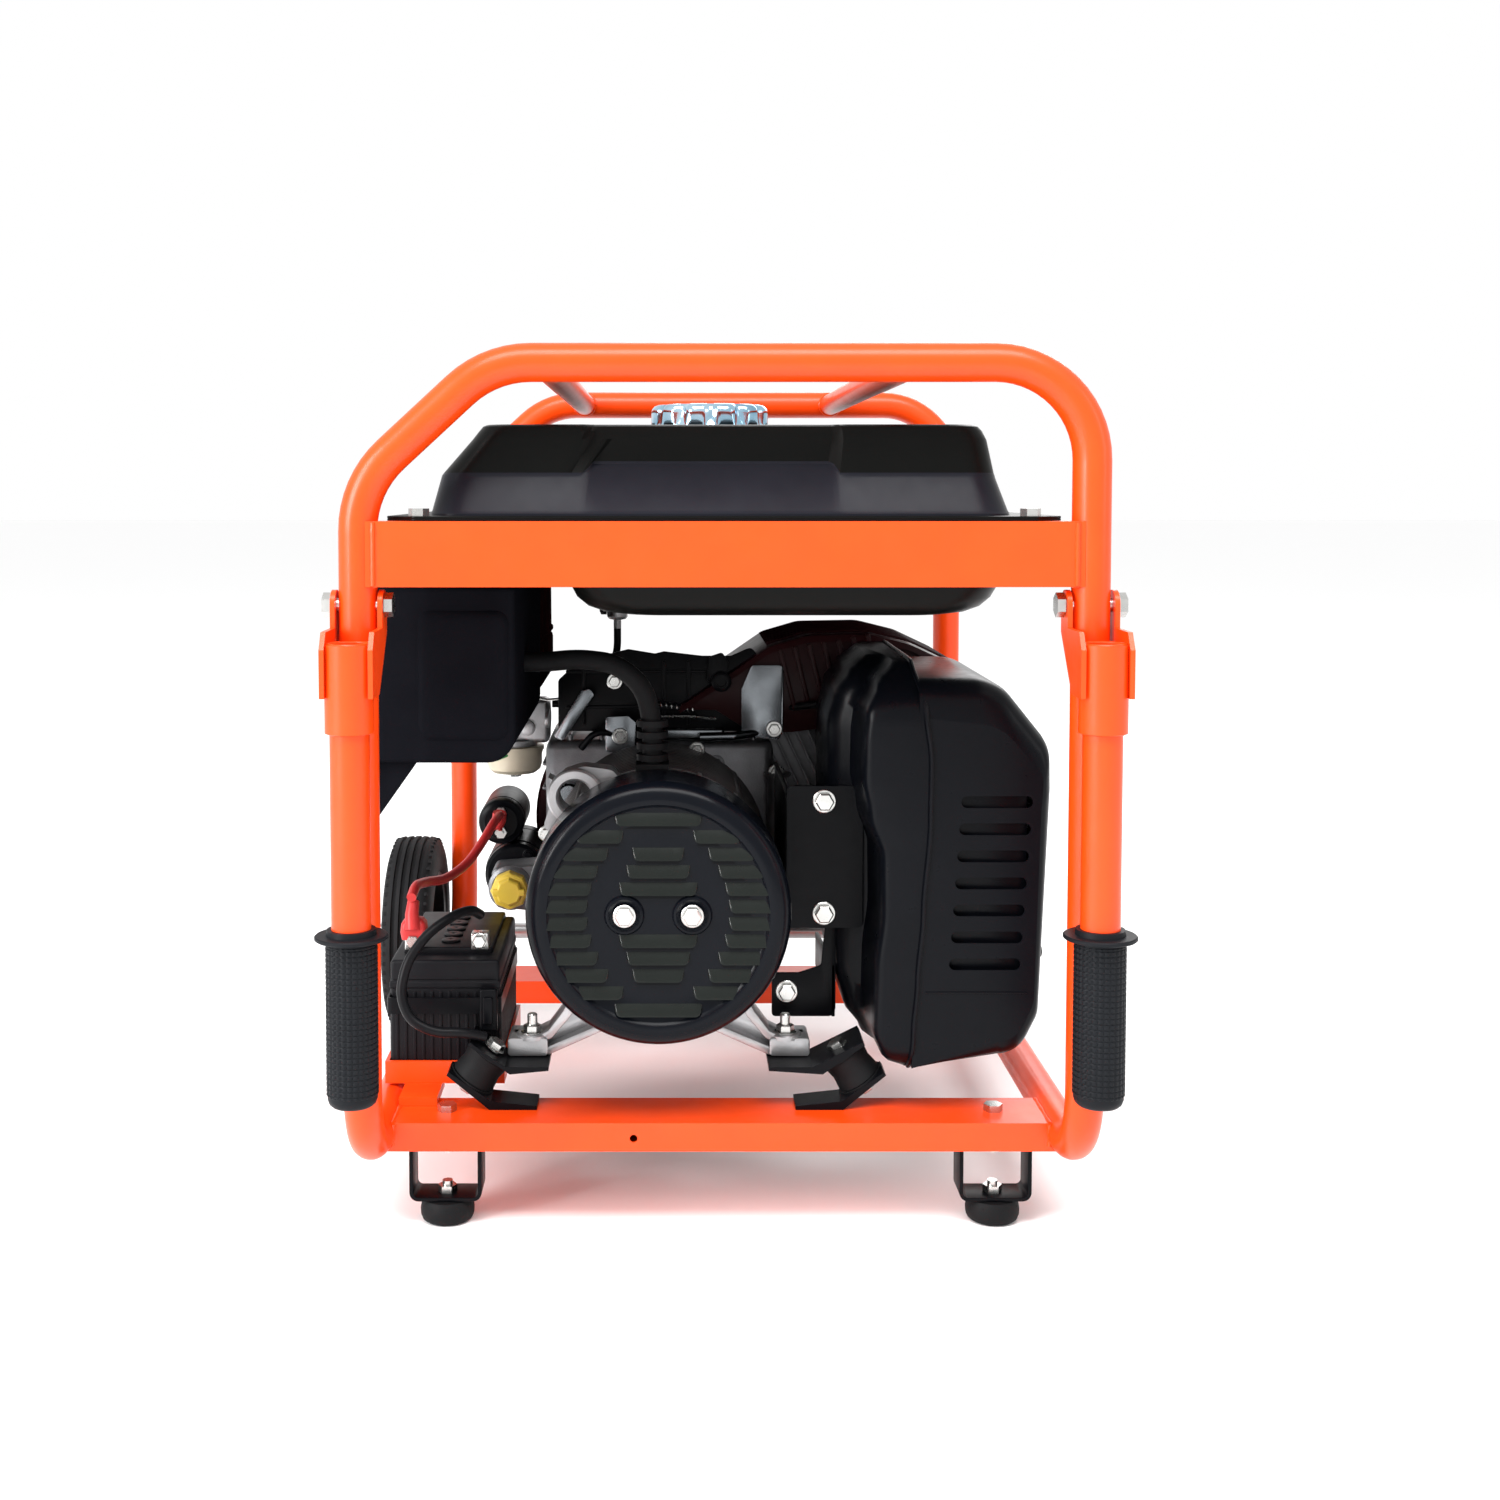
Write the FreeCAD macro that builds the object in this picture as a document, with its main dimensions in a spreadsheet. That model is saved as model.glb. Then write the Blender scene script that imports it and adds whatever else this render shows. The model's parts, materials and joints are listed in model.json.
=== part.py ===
import FreeCAD, Part
import math
import os
from types import SimpleNamespace

# Open-frame portable generator: tube cradle, fuel tank above, alternator at the front (-Y),
# engine behind it, muffler on +X, control box and battery on -X, wheels at the rear (+Y).
# Frame of the model: +Z up, origin on the ground under the middle of the whole machine, mm.

Vector = FreeCAD.Vector
DOC = FreeCAD.newDocument("PortableGenerator")
SHEET = DOC.addObject("Spreadsheet::Sheet", "Dimensions")
SUBPARTS = []

DRIVING = [
    ("front_reach", 67, "handle flange ahead of the front hoop"),
    ("rear_reach", 30, "tyre behind the rear hoop"),
    ("hoop_spacing", 662, "front hoop plane to rear hoop plane"),
    ("hoop_half", 264, "leg centre line from the middle"),
    ("tube_radius", 14, "frame tube outside"),
    ("tube_bore", 12, "frame tube inside"),
    ("weld_gap", 0.3, "gap left for the weld round a coped end"),
    ("rail_height", 76, "side rail centre line"),
    ("top_height", 660, "top tube centre line"),
    ("upper_bar_low", 499.5, "upper crossbar underside"),
    ("upper_bar_high", 546.5, "upper crossbar top"),
    ("lower_bar_low", 63, "lower crossbar underside"),
    ("lower_bar_high", 85, "lower crossbar top"),
    ("lower_bar_depth", 57, "lower crossbar size along Y"),
    ("sheet_wall", 2, "wall of crossbars and housings"),
    ("foot_x", 213, "foot from the middle"),
    ("wheel_radius", 100, "tyre outside"),
    ("wheel_centre_x", 307, "middle of a wheel"),
    ("axle_radius", 8, "axle"),
    ("running_gap", 0.06, "radial gap of a running fit"),
    ("pivot_height", 486, "lift handle pivot"),
    ("handle_offset", 41, "hanging handle ahead of the leg"),
    ("pivot_radius", 5, "lift handle pivot bolt"),
    ("bolt_radius", 4, "M8 bolt shank"),
    ("shaft_x", -48, "crankshaft axis"),
    ("shaft_height", 249, "crankshaft axis"),
    ("shaft_radius", 12.5, "alternator shaft"),
    ("cover_radius", 101, "alternator end cover"),
    ("cylinder_slope", 25, "cylinder axis above horizontal, degrees"),
    ("flange_low", 546.5, "tank flange underside"),
    ("tank_wall", 1.5, "tank sheet"),
]


class Size:
    """A length together with the sheet formula that it comes from."""

    def __init__(self, value, formula):
        self.value = float(value)
        self.formula = formula

    def combine(self, other, sign, swap=False):
        other = other if isinstance(other, Size) else Size(other, repr(float(other)))
        first, second = (other, self) if swap else (self, other)
        values = {
            "+": lambda: first.value + second.value,
            "-": lambda: first.value - second.value,
            "*": lambda: first.value * second.value,
            "/": lambda: first.value / second.value,
        }
        return Size(values[sign](), f"({first.formula} {sign} {second.formula})")

    def __add__(self, other):
        return self.combine(other, "+")

    def __radd__(self, other):
        return self.combine(other, "+", swap=True)

    def __sub__(self, other):
        return self.combine(other, "-")

    def __rsub__(self, other):
        return self.combine(other, "-", swap=True)

    def __mul__(self, other):
        return self.combine(other, "*")

    def __rmul__(self, other):
        return self.combine(other, "*", swap=True)

    def __truediv__(self, other):
        return self.combine(other, "/")

    def __neg__(self):
        return Size(0, "0") - self

    def __float__(self):
        return self.value


def driving_sizes():
    """Fills the sheet and gives each row as a bound size."""
    sizes = {}
    for row, (alias, value, note) in enumerate(DRIVING, start=1):
        SHEET.set(f"A{row}", note)
        SHEET.set(f"B{row}", str(value))
        SHEET.setAlias(f"B{row}", alias)
        sizes[alias] = Size(value, f"Dimensions.{alias}")
    return SimpleNamespace(**sizes)


D = driving_sizes()
DOC.recompute()
FRONT_Y = (D.front_reach - D.rear_reach - D.hoop_spacing) / 2
REAR_Y = FRONT_Y + D.hoop_spacing
MIDDLE_Y = (FRONT_Y + REAR_Y) / 2
SIDES = {"left": -1, "right": 1}


def behind(depth):
    """A Y position, given as the distance behind the front hoop."""
    return FRONT_Y + depth


# ---------------------------------------------------------------- building blocks

def bind(item, prop, size):
    """Ties a property to the sheet when its size comes from there."""
    if isinstance(size, Size):
        item.setExpression(prop, size.formula)


def assign(item, prop, size):
    setattr(item, prop, float(size))
    bind(item, prop, size)


def place(item, x, y, z, rotation=None):
    item.Placement = FreeCAD.Placement(Vector(float(x), float(y), float(z)), rotation or FreeCAD.Rotation())
    for axis, size in (("x", x), ("y", y), ("z", z)):
        bind(item, f"Placement.Base.{axis}", size)
    return item


def box(x_span, y_span, z_span):
    """A block between low and high positions along each axis."""
    block = DOC.addObject("Part::Box", "Block")
    for prop, (low, high) in zip(("Length", "Width", "Height"), (x_span, y_span, z_span)):
        assign(block, prop, high - low)
    return place(block, x_span[0], y_span[0], z_span[0])


ALONG = {
    "X": FreeCAD.Rotation(Vector(0, 1, 0), 90),
    "Y": FreeCAD.Rotation(Vector(1, 0, 0), -90),
    "Z": FreeCAD.Rotation(),
}


def corner(axis, along, across, up):
    """Orders a position along an axis and the two others in X, Y, Z order."""
    return {"X": (along, across, up), "Y": (across, along, up), "Z": (across, up, along)}[axis]


def rod(axis, radius, low, high, first, second):
    """A cylinder along an axis; first and second are its other two coordinates in X, Y, Z order."""
    cylinder = DOC.addObject("Part::Cylinder", "Rod")
    assign(cylinder, "Radius", radius)
    assign(cylinder, "Height", high - low)
    return place(cylinder, *corner(axis, low, first, second), rotation=ALONG[axis])


def hexagon(axis, circumradius, low, high, first, second):
    """A hexagonal head or nut along an axis."""
    prism = DOC.addObject("Part::Prism", "Hexagon")
    prism.Polygon = 6
    assign(prism, "Circumradius", circumradius)
    assign(prism, "Height", high - low)
    return place(prism, *corner(axis, low, first, second), rotation=ALONG[axis])


def joined(*pieces):
    fuse = DOC.addObject("Part::MultiFuse", "Joined")
    fuse.Shapes = list(pieces)
    return fuse


def less(base, *tools):
    cut = DOC.addObject("Part::Cut", "Less")
    cut.Base = base
    cut.Tool = tools[0] if len(tools) == 1 else joined(*tools)
    return cut


def group(*pieces):
    compound = DOC.addObject("Part::Compound", "Group")
    compound.Links = list(pieces)
    return compound


def subpart(name, item):
    """Names a finished sub-part, which is written to its own file."""
    item.Label = name
    SUBPARTS.append(item)
    return item


# ---------------------------------------------------------------- sketched bodies

PLANES = {
    "X": SimpleNamespace(role="YZ_Plane", sense=1),
    "Y": SimpleNamespace(role="XZ_Plane", sense=-1),
    "Z": SimpleNamespace(role="XY_Plane", sense=1),
}


def new_body(name):
    return DOC.addObject("PartDesign::Body", name.title().replace("_", ""))


def sketch_on(body, axis, position):
    """A sketch across an axis, at a position along it."""
    plane = PLANES[axis]
    sketch = body.newObject("Sketcher::SketchObject", "Outline")
    support = next(item for item in body.Origin.OriginFeatures if item.Role == plane.role)
    sketch.AttachmentSupport = [(support, "")]
    sketch.MapMode = "FlatFace"
    offset = position * plane.sense
    sketch.AttachmentOffset = FreeCAD.Placement(Vector(0, 0, float(offset)), FreeCAD.Rotation())
    bind(sketch, "AttachmentOffset.Base.z", offset)
    return sketch


def draw_outline(sketch, points):
    """Draws a closed outline. A third number on a point rounds that corner."""
    count = len(points)
    flat = [Vector(float(point[0]), float(point[1]), 0) for point in points]
    stations = []
    for index, point in enumerate(points):
        if len(point) < 3:
            stations.append((flat[index], None, flat[index]))
            continue
        stations.append(rounded_corner(flat[index - 1], flat[index], flat[(index + 1) % count], point[2]))
    pieces = []
    for index, (entry, middle, leave) in enumerate(stations):
        if middle is not None:
            pieces.append(Part.Arc(entry, middle, leave))
        pieces.append(Part.LineSegment(leave, stations[(index + 1) % count][0]))
    sketch.addGeometry(pieces, False)


def rounded_corner(before, corner_point, after, radius):
    """Start, middle and end of the arc that rounds a corner."""
    back = (before - corner_point).normalize()
    ahead = (after - corner_point).normalize()
    half_angle = back.getAngle(ahead) / 2
    reach = radius / math.tan(half_angle)
    inward = (back + ahead).normalize()
    centre = corner_point + inward * (radius / math.sin(half_angle))
    return corner_point + back * reach, centre - inward * radius, corner_point + ahead * reach


def pad(body, axis, points, low, high):
    """Extrudes an outline along an axis from low to high."""
    sketch = sketch_on(body, axis, low)
    draw_outline(sketch, points)
    feature = body.newObject("PartDesign::Pad", "Pad")
    feature.Profile = sketch
    feature.Reversed = PLANES[axis].sense < 0
    assign(feature, "Length", high - low)
    return feature


def pocket(body, axis, points, low, high):
    """Cuts an outline out of the body along an axis from low to high."""
    before = body.Shape.Volume
    sketch = sketch_on(body, axis, low)
    draw_outline(sketch, points)
    feature = body.newObject("PartDesign::Pocket", "Pocket")
    feature.Profile = sketch
    feature.Reversed = PLANES[axis].sense > 0
    assign(feature, "Length", high - low)
    DOC.recompute()
    if body.Shape.Volume > before - 1:
        raise RuntimeError(f"{body.Label}: a pocket cut nothing")
    return feature


def prism(name, axis, points, low, high, hollow=None):
    """A body with one outline; hollow is the outline and the span of its inside."""
    body = new_body(name)
    pad(body, axis, points, low, high)
    if hollow:
        DOC.recompute()
        pocket(body, axis, *hollow)
    return body


def turned(name, axis, profile, x, y, z):
    """A body of revolution. The profile lists (along the axis, radius), the place is its zero."""
    body = new_body(name)
    sketch = sketch_on(body, "X" if axis == "Y" else "Y", 0)
    swap = axis == "Z"
    draw_outline(sketch, [(point[1], point[0], *point[2:]) if swap else point for point in profile])
    feature = body.newObject("PartDesign::Revolution", "Revolution")
    feature.Profile = sketch
    feature.ReferenceAxis = (sketch, ["V_Axis" if swap else "H_Axis"])
    feature.Angle = 360
    place(body, x, y, z)
    return body


# ---------------------------------------------------------------- swept tubes

def vectors(points):
    return [Vector(*(float(part) for part in point)) for point in points]


def rounded_path(points, radii):
    """Straight runs joined by tangent arcs."""
    edges = []
    start = points[0]
    for before, middle, after, radius in zip(points, points[1:], points[2:], radii):
        entry, crown, leave = rounded_corner(before, middle, after, radius)
        edges.append(Part.LineSegment(start, entry).toShape())
        edges.append(Part.Arc(entry, crown, leave).toShape())
        start = leave
    edges.append(Part.LineSegment(start, points[-1]).toShape())
    return Part.Wire(edges)


def swept(points, radii, radius):
    """A round solid along a rounded path."""
    stations = vectors(points)
    path = rounded_path(stations, radii)
    direction = stations[1] - stations[0]
    section = Part.Wire(Part.makeCircle(float(radius), stations[0], direction))
    solid = path.makePipeShell([section], True, False)
    expected = math.pi * float(radius) ** 2 * path.Length
    if abs(solid.Volume - expected) > 0.01 * expected:
        raise RuntimeError("a swept tube has the wrong volume")
    return solid


def shape_feature(name, shape):
    feature = DOC.addObject("Part::Feature", name.title().replace("_", ""))
    feature.Shape = shape
    feature.Placement = FreeCAD.Placement()
    return feature


def soft_radii(points):
    """The largest arcs that the runs of a cable allow."""
    stations = vectors(points)
    radii = []
    for before, middle, after in zip(stations, stations[1:], stations[2:]):
        back = before - middle
        ahead = after - middle
        half_turn = (math.pi - back.getAngle(ahead)) / 2
        radii.append(0.45 * min(back.Length, ahead.Length) / math.tan(half_turn))
    return radii


def cable(name, points, radius):
    """A flexible line held at both ends; prints how tightly it bends."""
    radii = soft_radii(points)
    print(name, "bend radii", [round(value) for value in radii])
    return subpart(name, shape_feature(name, swept(points, radii, radius)))


# ---------------------------------------------------------------- tube frame

def hoop(name, plane_y):
    """One end hoop; both legs bend into the side rails and stop at the middle of the machine."""
    left_slope = 0.638 * D.hoop_half
    shoulder = D.top_height - 88
    points = [
        (-D.hoop_half, MIDDLE_Y, D.rail_height),
        (-D.hoop_half, plane_y, D.rail_height),
        (-D.hoop_half, plane_y, shoulder),
        (-left_slope, plane_y, D.top_height),
        (D.hoop_half, plane_y, D.top_height),
        (D.hoop_half, plane_y, D.rail_height),
        (D.hoop_half, MIDDLE_Y, D.rail_height),
    ]
    radii = [55, 75, 75, 70, 55]
    outside = swept(points, radii, D.tube_radius)
    inside = swept(points, radii, D.tube_bore)
    return shape_feature(name, outside.cut(inside))


def front_hoop():
    """The front hoop is drilled for the lift handle bolts."""
    holes = [
        rod("X", D.pivot_radius, side * D.hoop_half - 20, side * D.hoop_half + 20, FRONT_Y, D.pivot_height)
        for side in SIDES.values()
    ]
    subpart("front_hoop", less(hoop("front_tube", FRONT_Y), *holes))


def hoop_leg_space(y):
    """The room that both legs of a hoop take at a crossbar's ends."""
    radius = D.tube_radius + D.weld_gap
    return [rod("Z", radius, 300, 620, side * D.hoop_half, y) for side in SIDES.values()]


def top_cross_tubes():
    """Two lighter tubes from hoop to hoop over the tank, coped to the hoops."""
    outer_radius = 11
    cope_radius = D.tube_radius + D.weld_gap
    ends = [rod("X", cope_radius, -200, 200, y, D.top_height) for y in (FRONT_Y, REAR_Y)]
    tubes = [
        less(
            rod("Y", outer_radius, FRONT_Y, REAR_Y, x, D.top_height),
            rod("Y", outer_radius - D.sheet_wall, FRONT_Y, REAR_Y, x, D.top_height),
            *ends,
        )
        for x in (-130, 135)
    ]
    subpart("top_cross_tubes", group(*tubes))


def upper_crossbars():
    """Two flat box bars between the legs, which carry the tank flange."""
    half_depth = 12.5
    wall = D.sheet_wall
    bars = []
    for y in (FRONT_Y, REAR_Y):
        outside = box(
            (-D.hoop_half, D.hoop_half),
            (y - half_depth, y + half_depth),
            (D.upper_bar_low, D.upper_bar_high),
        )
        inside = box(
            (-D.hoop_half, D.hoop_half),
            (y - half_depth + wall, y + half_depth - wall),
            (D.upper_bar_low + wall, D.upper_bar_high - wall),
        )
        holes = [rod("Z", D.bolt_radius, D.upper_bar_high - 5, D.upper_bar_high + 5, side * TANK_BOLT_X, y)
                 for side in SIDES.values()]
        bars.append(less(outside, inside, *hoop_leg_space(y), *holes))
    subpart("upper_crossbars", group(*bars))


def lower_crossbars():
    """Two box bars between the side rails, under the alternator and under the engine."""
    wall = D.sheet_wall
    bars = []
    for depth in (FRONT_BAR_DEPTH, ENGINE_BAR_DEPTH):
        low_y = behind(depth)
        high_y = low_y + D.lower_bar_depth
        outside = box((-D.hoop_half, D.hoop_half), (low_y, high_y), (D.lower_bar_low, D.lower_bar_high))
        inside = box(
            (-D.hoop_half, D.hoop_half),
            (low_y + wall, high_y - wall),
            (D.lower_bar_low + wall, D.lower_bar_high - wall),
        )
        cope_radius = D.tube_radius + D.weld_gap
        rails = [rod("Y", cope_radius, low_y - 5, high_y + 5, side * D.hoop_half, D.rail_height)
                 for side in SIDES.values()]
        cuts = [inside, *rails]
        if depth == FRONT_BAR_DEPTH:
            cuts.append(rod("Y", 3, low_y - 5, low_y + 5, -67, 73))
            for side in SIDES.values():
                cuts.append(rod("Z", D.bolt_radius, 60, 90, side * D.foot_x, FOOT_Y))
        bars.append(less(outside, *cuts))
    subpart("lower_crossbars", group(*bars))


FRONT_BAR_DEPTH = 57
ENGINE_BAR_DEPTH = 450
FOOT_Y = behind(FRONT_BAR_DEPTH) + D.lower_bar_depth / 2
TANK_BOLT_X = 220
STRAP_HALF = 28
STRAP_WALL = 3
STRAP_LOW = 18


def foot_brackets():
    """A closed strap under each end of the front bar."""
    straps = []
    for side in SIDES.values():
        x = side * D.foot_x
        outside = box(
            (x - STRAP_HALF, x + STRAP_HALF),
            (FOOT_Y - 15, FOOT_Y + 15),
            (STRAP_LOW, D.lower_bar_low),
        )
        inside = box(
            (x - STRAP_HALF + STRAP_WALL, x + STRAP_HALF - STRAP_WALL),
            (FOOT_Y - 16, FOOT_Y + 16),
            (STRAP_LOW + STRAP_WALL, D.lower_bar_low - STRAP_WALL),
        )
        hole = rod("Z", D.bolt_radius, STRAP_LOW - 1, D.lower_bar_low + 1, x, FOOT_Y)
        straps.append(less(outside, inside, hole))
    subpart("foot_brackets", group(*straps))


def rubber_feet():
    feet = [
        turned("foot", "Z", [(0, 10), (0, 19), (2, 21), (16, 20), (18, 18), (18, 4), (8, 4), (8, 10)],
               side * D.foot_x, FOOT_Y, 0)
        for side in SIDES.values()
    ]
    subpart("rubber_feet", group(*feet))


def bolt(axis, head_low, sense, length, first, second, nut_at):
    """A hexagon bolt; its head starts at head_low and its shank runs the other way by length."""
    head_height = 5.5
    head_span = sorted((float(head_low), float(head_low) + sense * head_height))
    shank_span = sorted((float(head_low), float(head_low) - sense * length))
    nut_span = sorted((float(nut_at), float(nut_at) - sense * head_height))
    return joined(
        hexagon(axis, 7.5, *head_span, first, second),
        rod(axis, D.bolt_radius, *shank_span, first, second),
        hexagon(axis, 7.5, *nut_span, first, second),
    )


def frame_bolts():
    """Tank bolts, bar-to-strap bolts and foot bolts, all M8."""
    bolts = []
    for side in SIDES.values():
        for y in (FRONT_Y, REAR_Y):
            nut_face = D.upper_bar_high - D.sheet_wall
            bolts.append(bolt("Z", D.flange_low + 3.5, 1, 14, side * TANK_BOLT_X, y, nut_face))
        foot_x = side * D.foot_x
        bolts.append(bolt("Z", D.lower_bar_high, 1, 32, foot_x, FOOT_Y, D.lower_bar_low - STRAP_WALL))
        bolts.append(bolt("Z", 8, -1, 22, foot_x, FOOT_Y, STRAP_LOW + STRAP_WALL))
    subpart("frame_bolts", group(*bolts))


# ---------------------------------------------------------------- wheels and axle

WHEEL_Y = REAR_Y - 70
HUB_HALF = 26


def axle_brackets():
    """Plates on the side rails that hold the axle."""
    plates = []
    for side in SIDES.values():
        x = side * D.hoop_half
        plate = box((x - 12, x + 12), (WHEEL_Y - 15, WHEEL_Y + 15), (80, 116))
        rail = rod("Y", D.tube_radius, WHEEL_Y - 20, WHEEL_Y + 20, x, D.rail_height)
        hole = rod("X", D.axle_radius, x - 20, x + 20, WHEEL_Y, D.wheel_radius)
        plates.append(less(plate, rail, hole))
    subpart("axle_brackets", group(*plates))


def wheel_axle():
    """The axle with its inner collars, outer washers and nuts."""
    end = D.wheel_centre_x + 38
    pieces = [rod("X", D.axle_radius, -end, end, WHEEL_Y, D.wheel_radius)]
    for side in SIDES.values():
        for low, high in ((-28.7, -26.3), (26.3, 28.8)):
            centre = float(D.wheel_centre_x)
            edges = sorted((side * (centre + low), side * (centre + high)))
            pieces.append(rod("X", 12, *edges, WHEEL_Y, D.wheel_radius))
        edges = sorted((side * (float(D.wheel_centre_x) + 28.8), side * (float(D.wheel_centre_x) + 35.5)))
        pieces.append(hexagon("X", 12, *edges, WHEEL_Y, D.wheel_radius))
    subpart("wheel_axle", joined(*pieces))


def wheel(side_name):
    x = SIDES[side_name] * D.wheel_centre_x
    bore = float(D.axle_radius + D.running_gap)
    rim_profile = [(-HUB_HALF, bore), (-HUB_HALF, 18), (-4, 20), (-4, 54), (-22, 56), (-22, 62), (22, 62), (22, 56),
                   (4, 54), (4, 20), (HUB_HALF, 18), (HUB_HALF, bore)]
    radius = float(D.wheel_radius)
    groove_depth = 3
    tyre_profile = [(-22, 62), (-25, 70), (-25, radius - 12), (-19, radius - 1)]
    for middle in (-12, -4, 4, 12):
        tyre_profile += [(middle - 2, radius), (middle - 1, radius - groove_depth),
                         (middle + 1, radius - groove_depth), (middle + 2, radius)]
    tyre_profile += [(19, radius - 1), (25, radius - 12), (25, 70), (22, 62)]
    subpart(f"wheel_{side_name}_rim", turned(f"rim_{side_name}", "X", rim_profile, x, WHEEL_Y, D.wheel_radius))
    subpart(f"wheel_{side_name}_tyre", turned(f"tyre_{side_name}", "X", tyre_profile, x, WHEEL_Y, D.wheel_radius))


# ---------------------------------------------------------------- fold-down lift handles

EAR_INNER = 15.25
EAR_OUTER = 18.75
SLEEVE_RADIUS = 17.25
GRIP_TOP = 260
GRIP_BOTTOM = 134


def handle_pivot_bolts():
    """One bolt through each front leg, head outboard and nut inboard."""
    head_gap = EAR_OUTER + 0.5
    bolts = []
    for side in SIDES.values():
        x = float(side * D.hoop_half)
        head = sorted((x + side * head_gap, x + side * (head_gap + 6)))
        nut = sorted((x - side * head_gap, x - side * (head_gap + 6)))
        bolts.append(joined(
            rod("X", D.pivot_radius, x - head_gap - 1, x + head_gap + 1, FRONT_Y, D.pivot_height),
            hexagon("X", 9, *head, FRONT_Y, D.pivot_height),
            hexagon("X", 9, *nut, FRONT_Y, D.pivot_height),
        ))
    subpart("handle_pivot_bolts", group(*bolts))


def handle(side_name):
    """A clevis sleeve, its tube and its rubber grip, hanging in front of the leg."""
    x = SIDES[side_name] * D.hoop_half
    y = FRONT_Y - D.handle_offset
    pivot_y = float(FRONT_Y)
    pivot_z = float(D.pivot_height)
    ear = [(11, 0), (11, -20), (-25, -62), (-54, -62), (-54, -28), (-46, -16), (-11, -16), (-11, 0)]
    ear_points = [(pivot_y + across, pivot_z + up) for across, up in ear]
    ears = []
    for low, high in ((-EAR_OUTER, -EAR_INNER), (EAR_INNER, EAR_OUTER)):
        ears.append(prism(f"ear_{side_name}", "X", ear_points, x + low, x + high))
        ears.append(rod("X", 11, x + low, x + high, FRONT_Y, D.pivot_height))
    sleeve = rod("Z", SLEEVE_RADIUS, 399, 461, x, y)
    bore = rod("Z", D.tube_radius, 398, 462, x, y)
    pivot_hole = rod("X", D.pivot_radius + D.running_gap, x - 25, x + 25, FRONT_Y, D.pivot_height)
    subpart(f"handle_{side_name}_clevis", less(joined(*ears, sleeve), bore, pivot_hole))

    tube = less(
        rod("Z", D.tube_radius, GRIP_BOTTOM + 16, 461, x, y),
        rod("Z", D.tube_bore, GRIP_BOTTOM, 462, x, y),
    )
    subpart(f"handle_{side_name}_tube", tube)

    tube_radius = float(D.tube_radius)
    profile = [(GRIP_BOTTOM, 0), (GRIP_BOTTOM, 12), (GRIP_BOTTOM + 7, 18), (240, 18), (244, 16), (250, 16),
               (253, 26), (256, 26), (GRIP_TOP, 17), (GRIP_TOP, tube_radius),
               (GRIP_BOTTOM + 16, tube_radius), (GRIP_BOTTOM + 16, 0)]
    subpart(f"handle_{side_name}_grip", turned(f"grip_{side_name}", "Z", profile, x, y, 0))


# ---------------------------------------------------------------- fuel tank

TANK_FRONT = behind(16)
TANK_BACK = REAR_Y - 16
TANK_TOP = 617
SEAM = 548.3
CAP_X = -7
CAP_Y = behind(170)


def tank_flange(low, high):
    """The bolted rim of one tank half, with cut corners."""
    corner_cut = 22
    half = 245
    front = FRONT_Y - 10
    back = REAR_Y + 10
    points = [
        (-half + corner_cut, front), (half - corner_cut, front), (half, front + corner_cut),
        (half, back - corner_cut), (half - corner_cut, back), (-half + corner_cut, back),
        (-half, back - corner_cut), (-half, front + corner_cut),
    ]
    return prism("tank_flange", "Z", points, low, high)


def flange_holes():
    return [rod("Z", D.bolt_radius, 540, 555, side * TANK_BOLT_X, y)
            for side in SIDES.values() for y in (FRONT_Y, REAR_Y)]


def fuel_tank_upper():
    """The upper stamping: slanted left shoulder, steeper right one, and the filler neck."""
    wall = float(D.tank_wall)
    outline = [(-217, SEAM), (-210, 580), (-178, TANK_TOP), (190, TANK_TOP), (197, 608), (213, SEAM)]
    inner = [(-217 + wall, SEAM - 1), (-210 + wall, 580 - wall / 2), (-178 + wall, TANK_TOP - wall),
             (190 - wall, TANK_TOP - wall), (197 - wall, 608 - wall / 2), (213 - wall, SEAM - 1)]
    shell = prism("tank_top_shell", "Y", outline, TANK_FRONT, TANK_BACK)
    inside = prism("tank_top_room", "Y", inner, TANK_FRONT + wall, TANK_BACK - wall)
    neck = rod("Z", 27, TANK_TOP - 3, 630, CAP_X, CAP_Y)
    neck_bore = rod("Z", 24, TANK_TOP - 10, 635, CAP_X, CAP_Y)
    flange = tank_flange(SEAM, SEAM + 1.7)
    subpart("fuel_tank_upper", less(joined(shell, flange, neck), inside, neck_bore, *flange_holes()))


def fuel_tank_lower():
    """The lower stamping: a narrower tray with rounded bottom edges."""
    wall = float(D.tank_wall)
    tray_low = 475
    outline = [(-114, SEAM), (-114, tray_low, 32), (204, tray_low, 40), (204, SEAM)]
    inner = [(-114 + wall, SEAM + 1), (-114 + wall, tray_low + wall, 30), (204 - wall, tray_low + wall, 38),
             (204 - wall, SEAM + 1)]
    shell = prism("tank_tray_shell", "Y", outline, TANK_FRONT + 6, TANK_BACK - 6)
    inside = prism("tank_tray_room", "Y", inner, TANK_FRONT + 6 + wall, TANK_BACK - 6 - wall)
    flange = tank_flange(D.flange_low, SEAM)
    outlet = rod("Z", 5, tray_low - 5, tray_low + 5, VALVE_X, VALVE_Y)
    subpart("fuel_tank_lower", less(joined(shell, flange), inside, outlet, *flange_holes()))


def fuel_cap():
    """A wide cap over the neck, with a scalloped rim."""
    profile = [(0.8, 28), (0.8, 47), (3, 48), (14, 48), (17, 44), (19, 30), (20.5, 0), (14.5, 0), (14.5, 28)]
    cup = turned("cap_cup", "Z", profile, CAP_X, CAP_Y, TANK_TOP)
    scallops = []
    for step in range(12):
        angle = step * math.pi / 6
        x = CAP_X + 50 * math.cos(angle)
        y = CAP_Y + 50 * math.sin(angle)
        scallops.append(rod("Z", 5, TANK_TOP, 640, x, y))
    subpart("fuel_cap", less(cup, *scallops))


VALVE_X = -88
VALVE_Y = behind(395)


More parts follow.
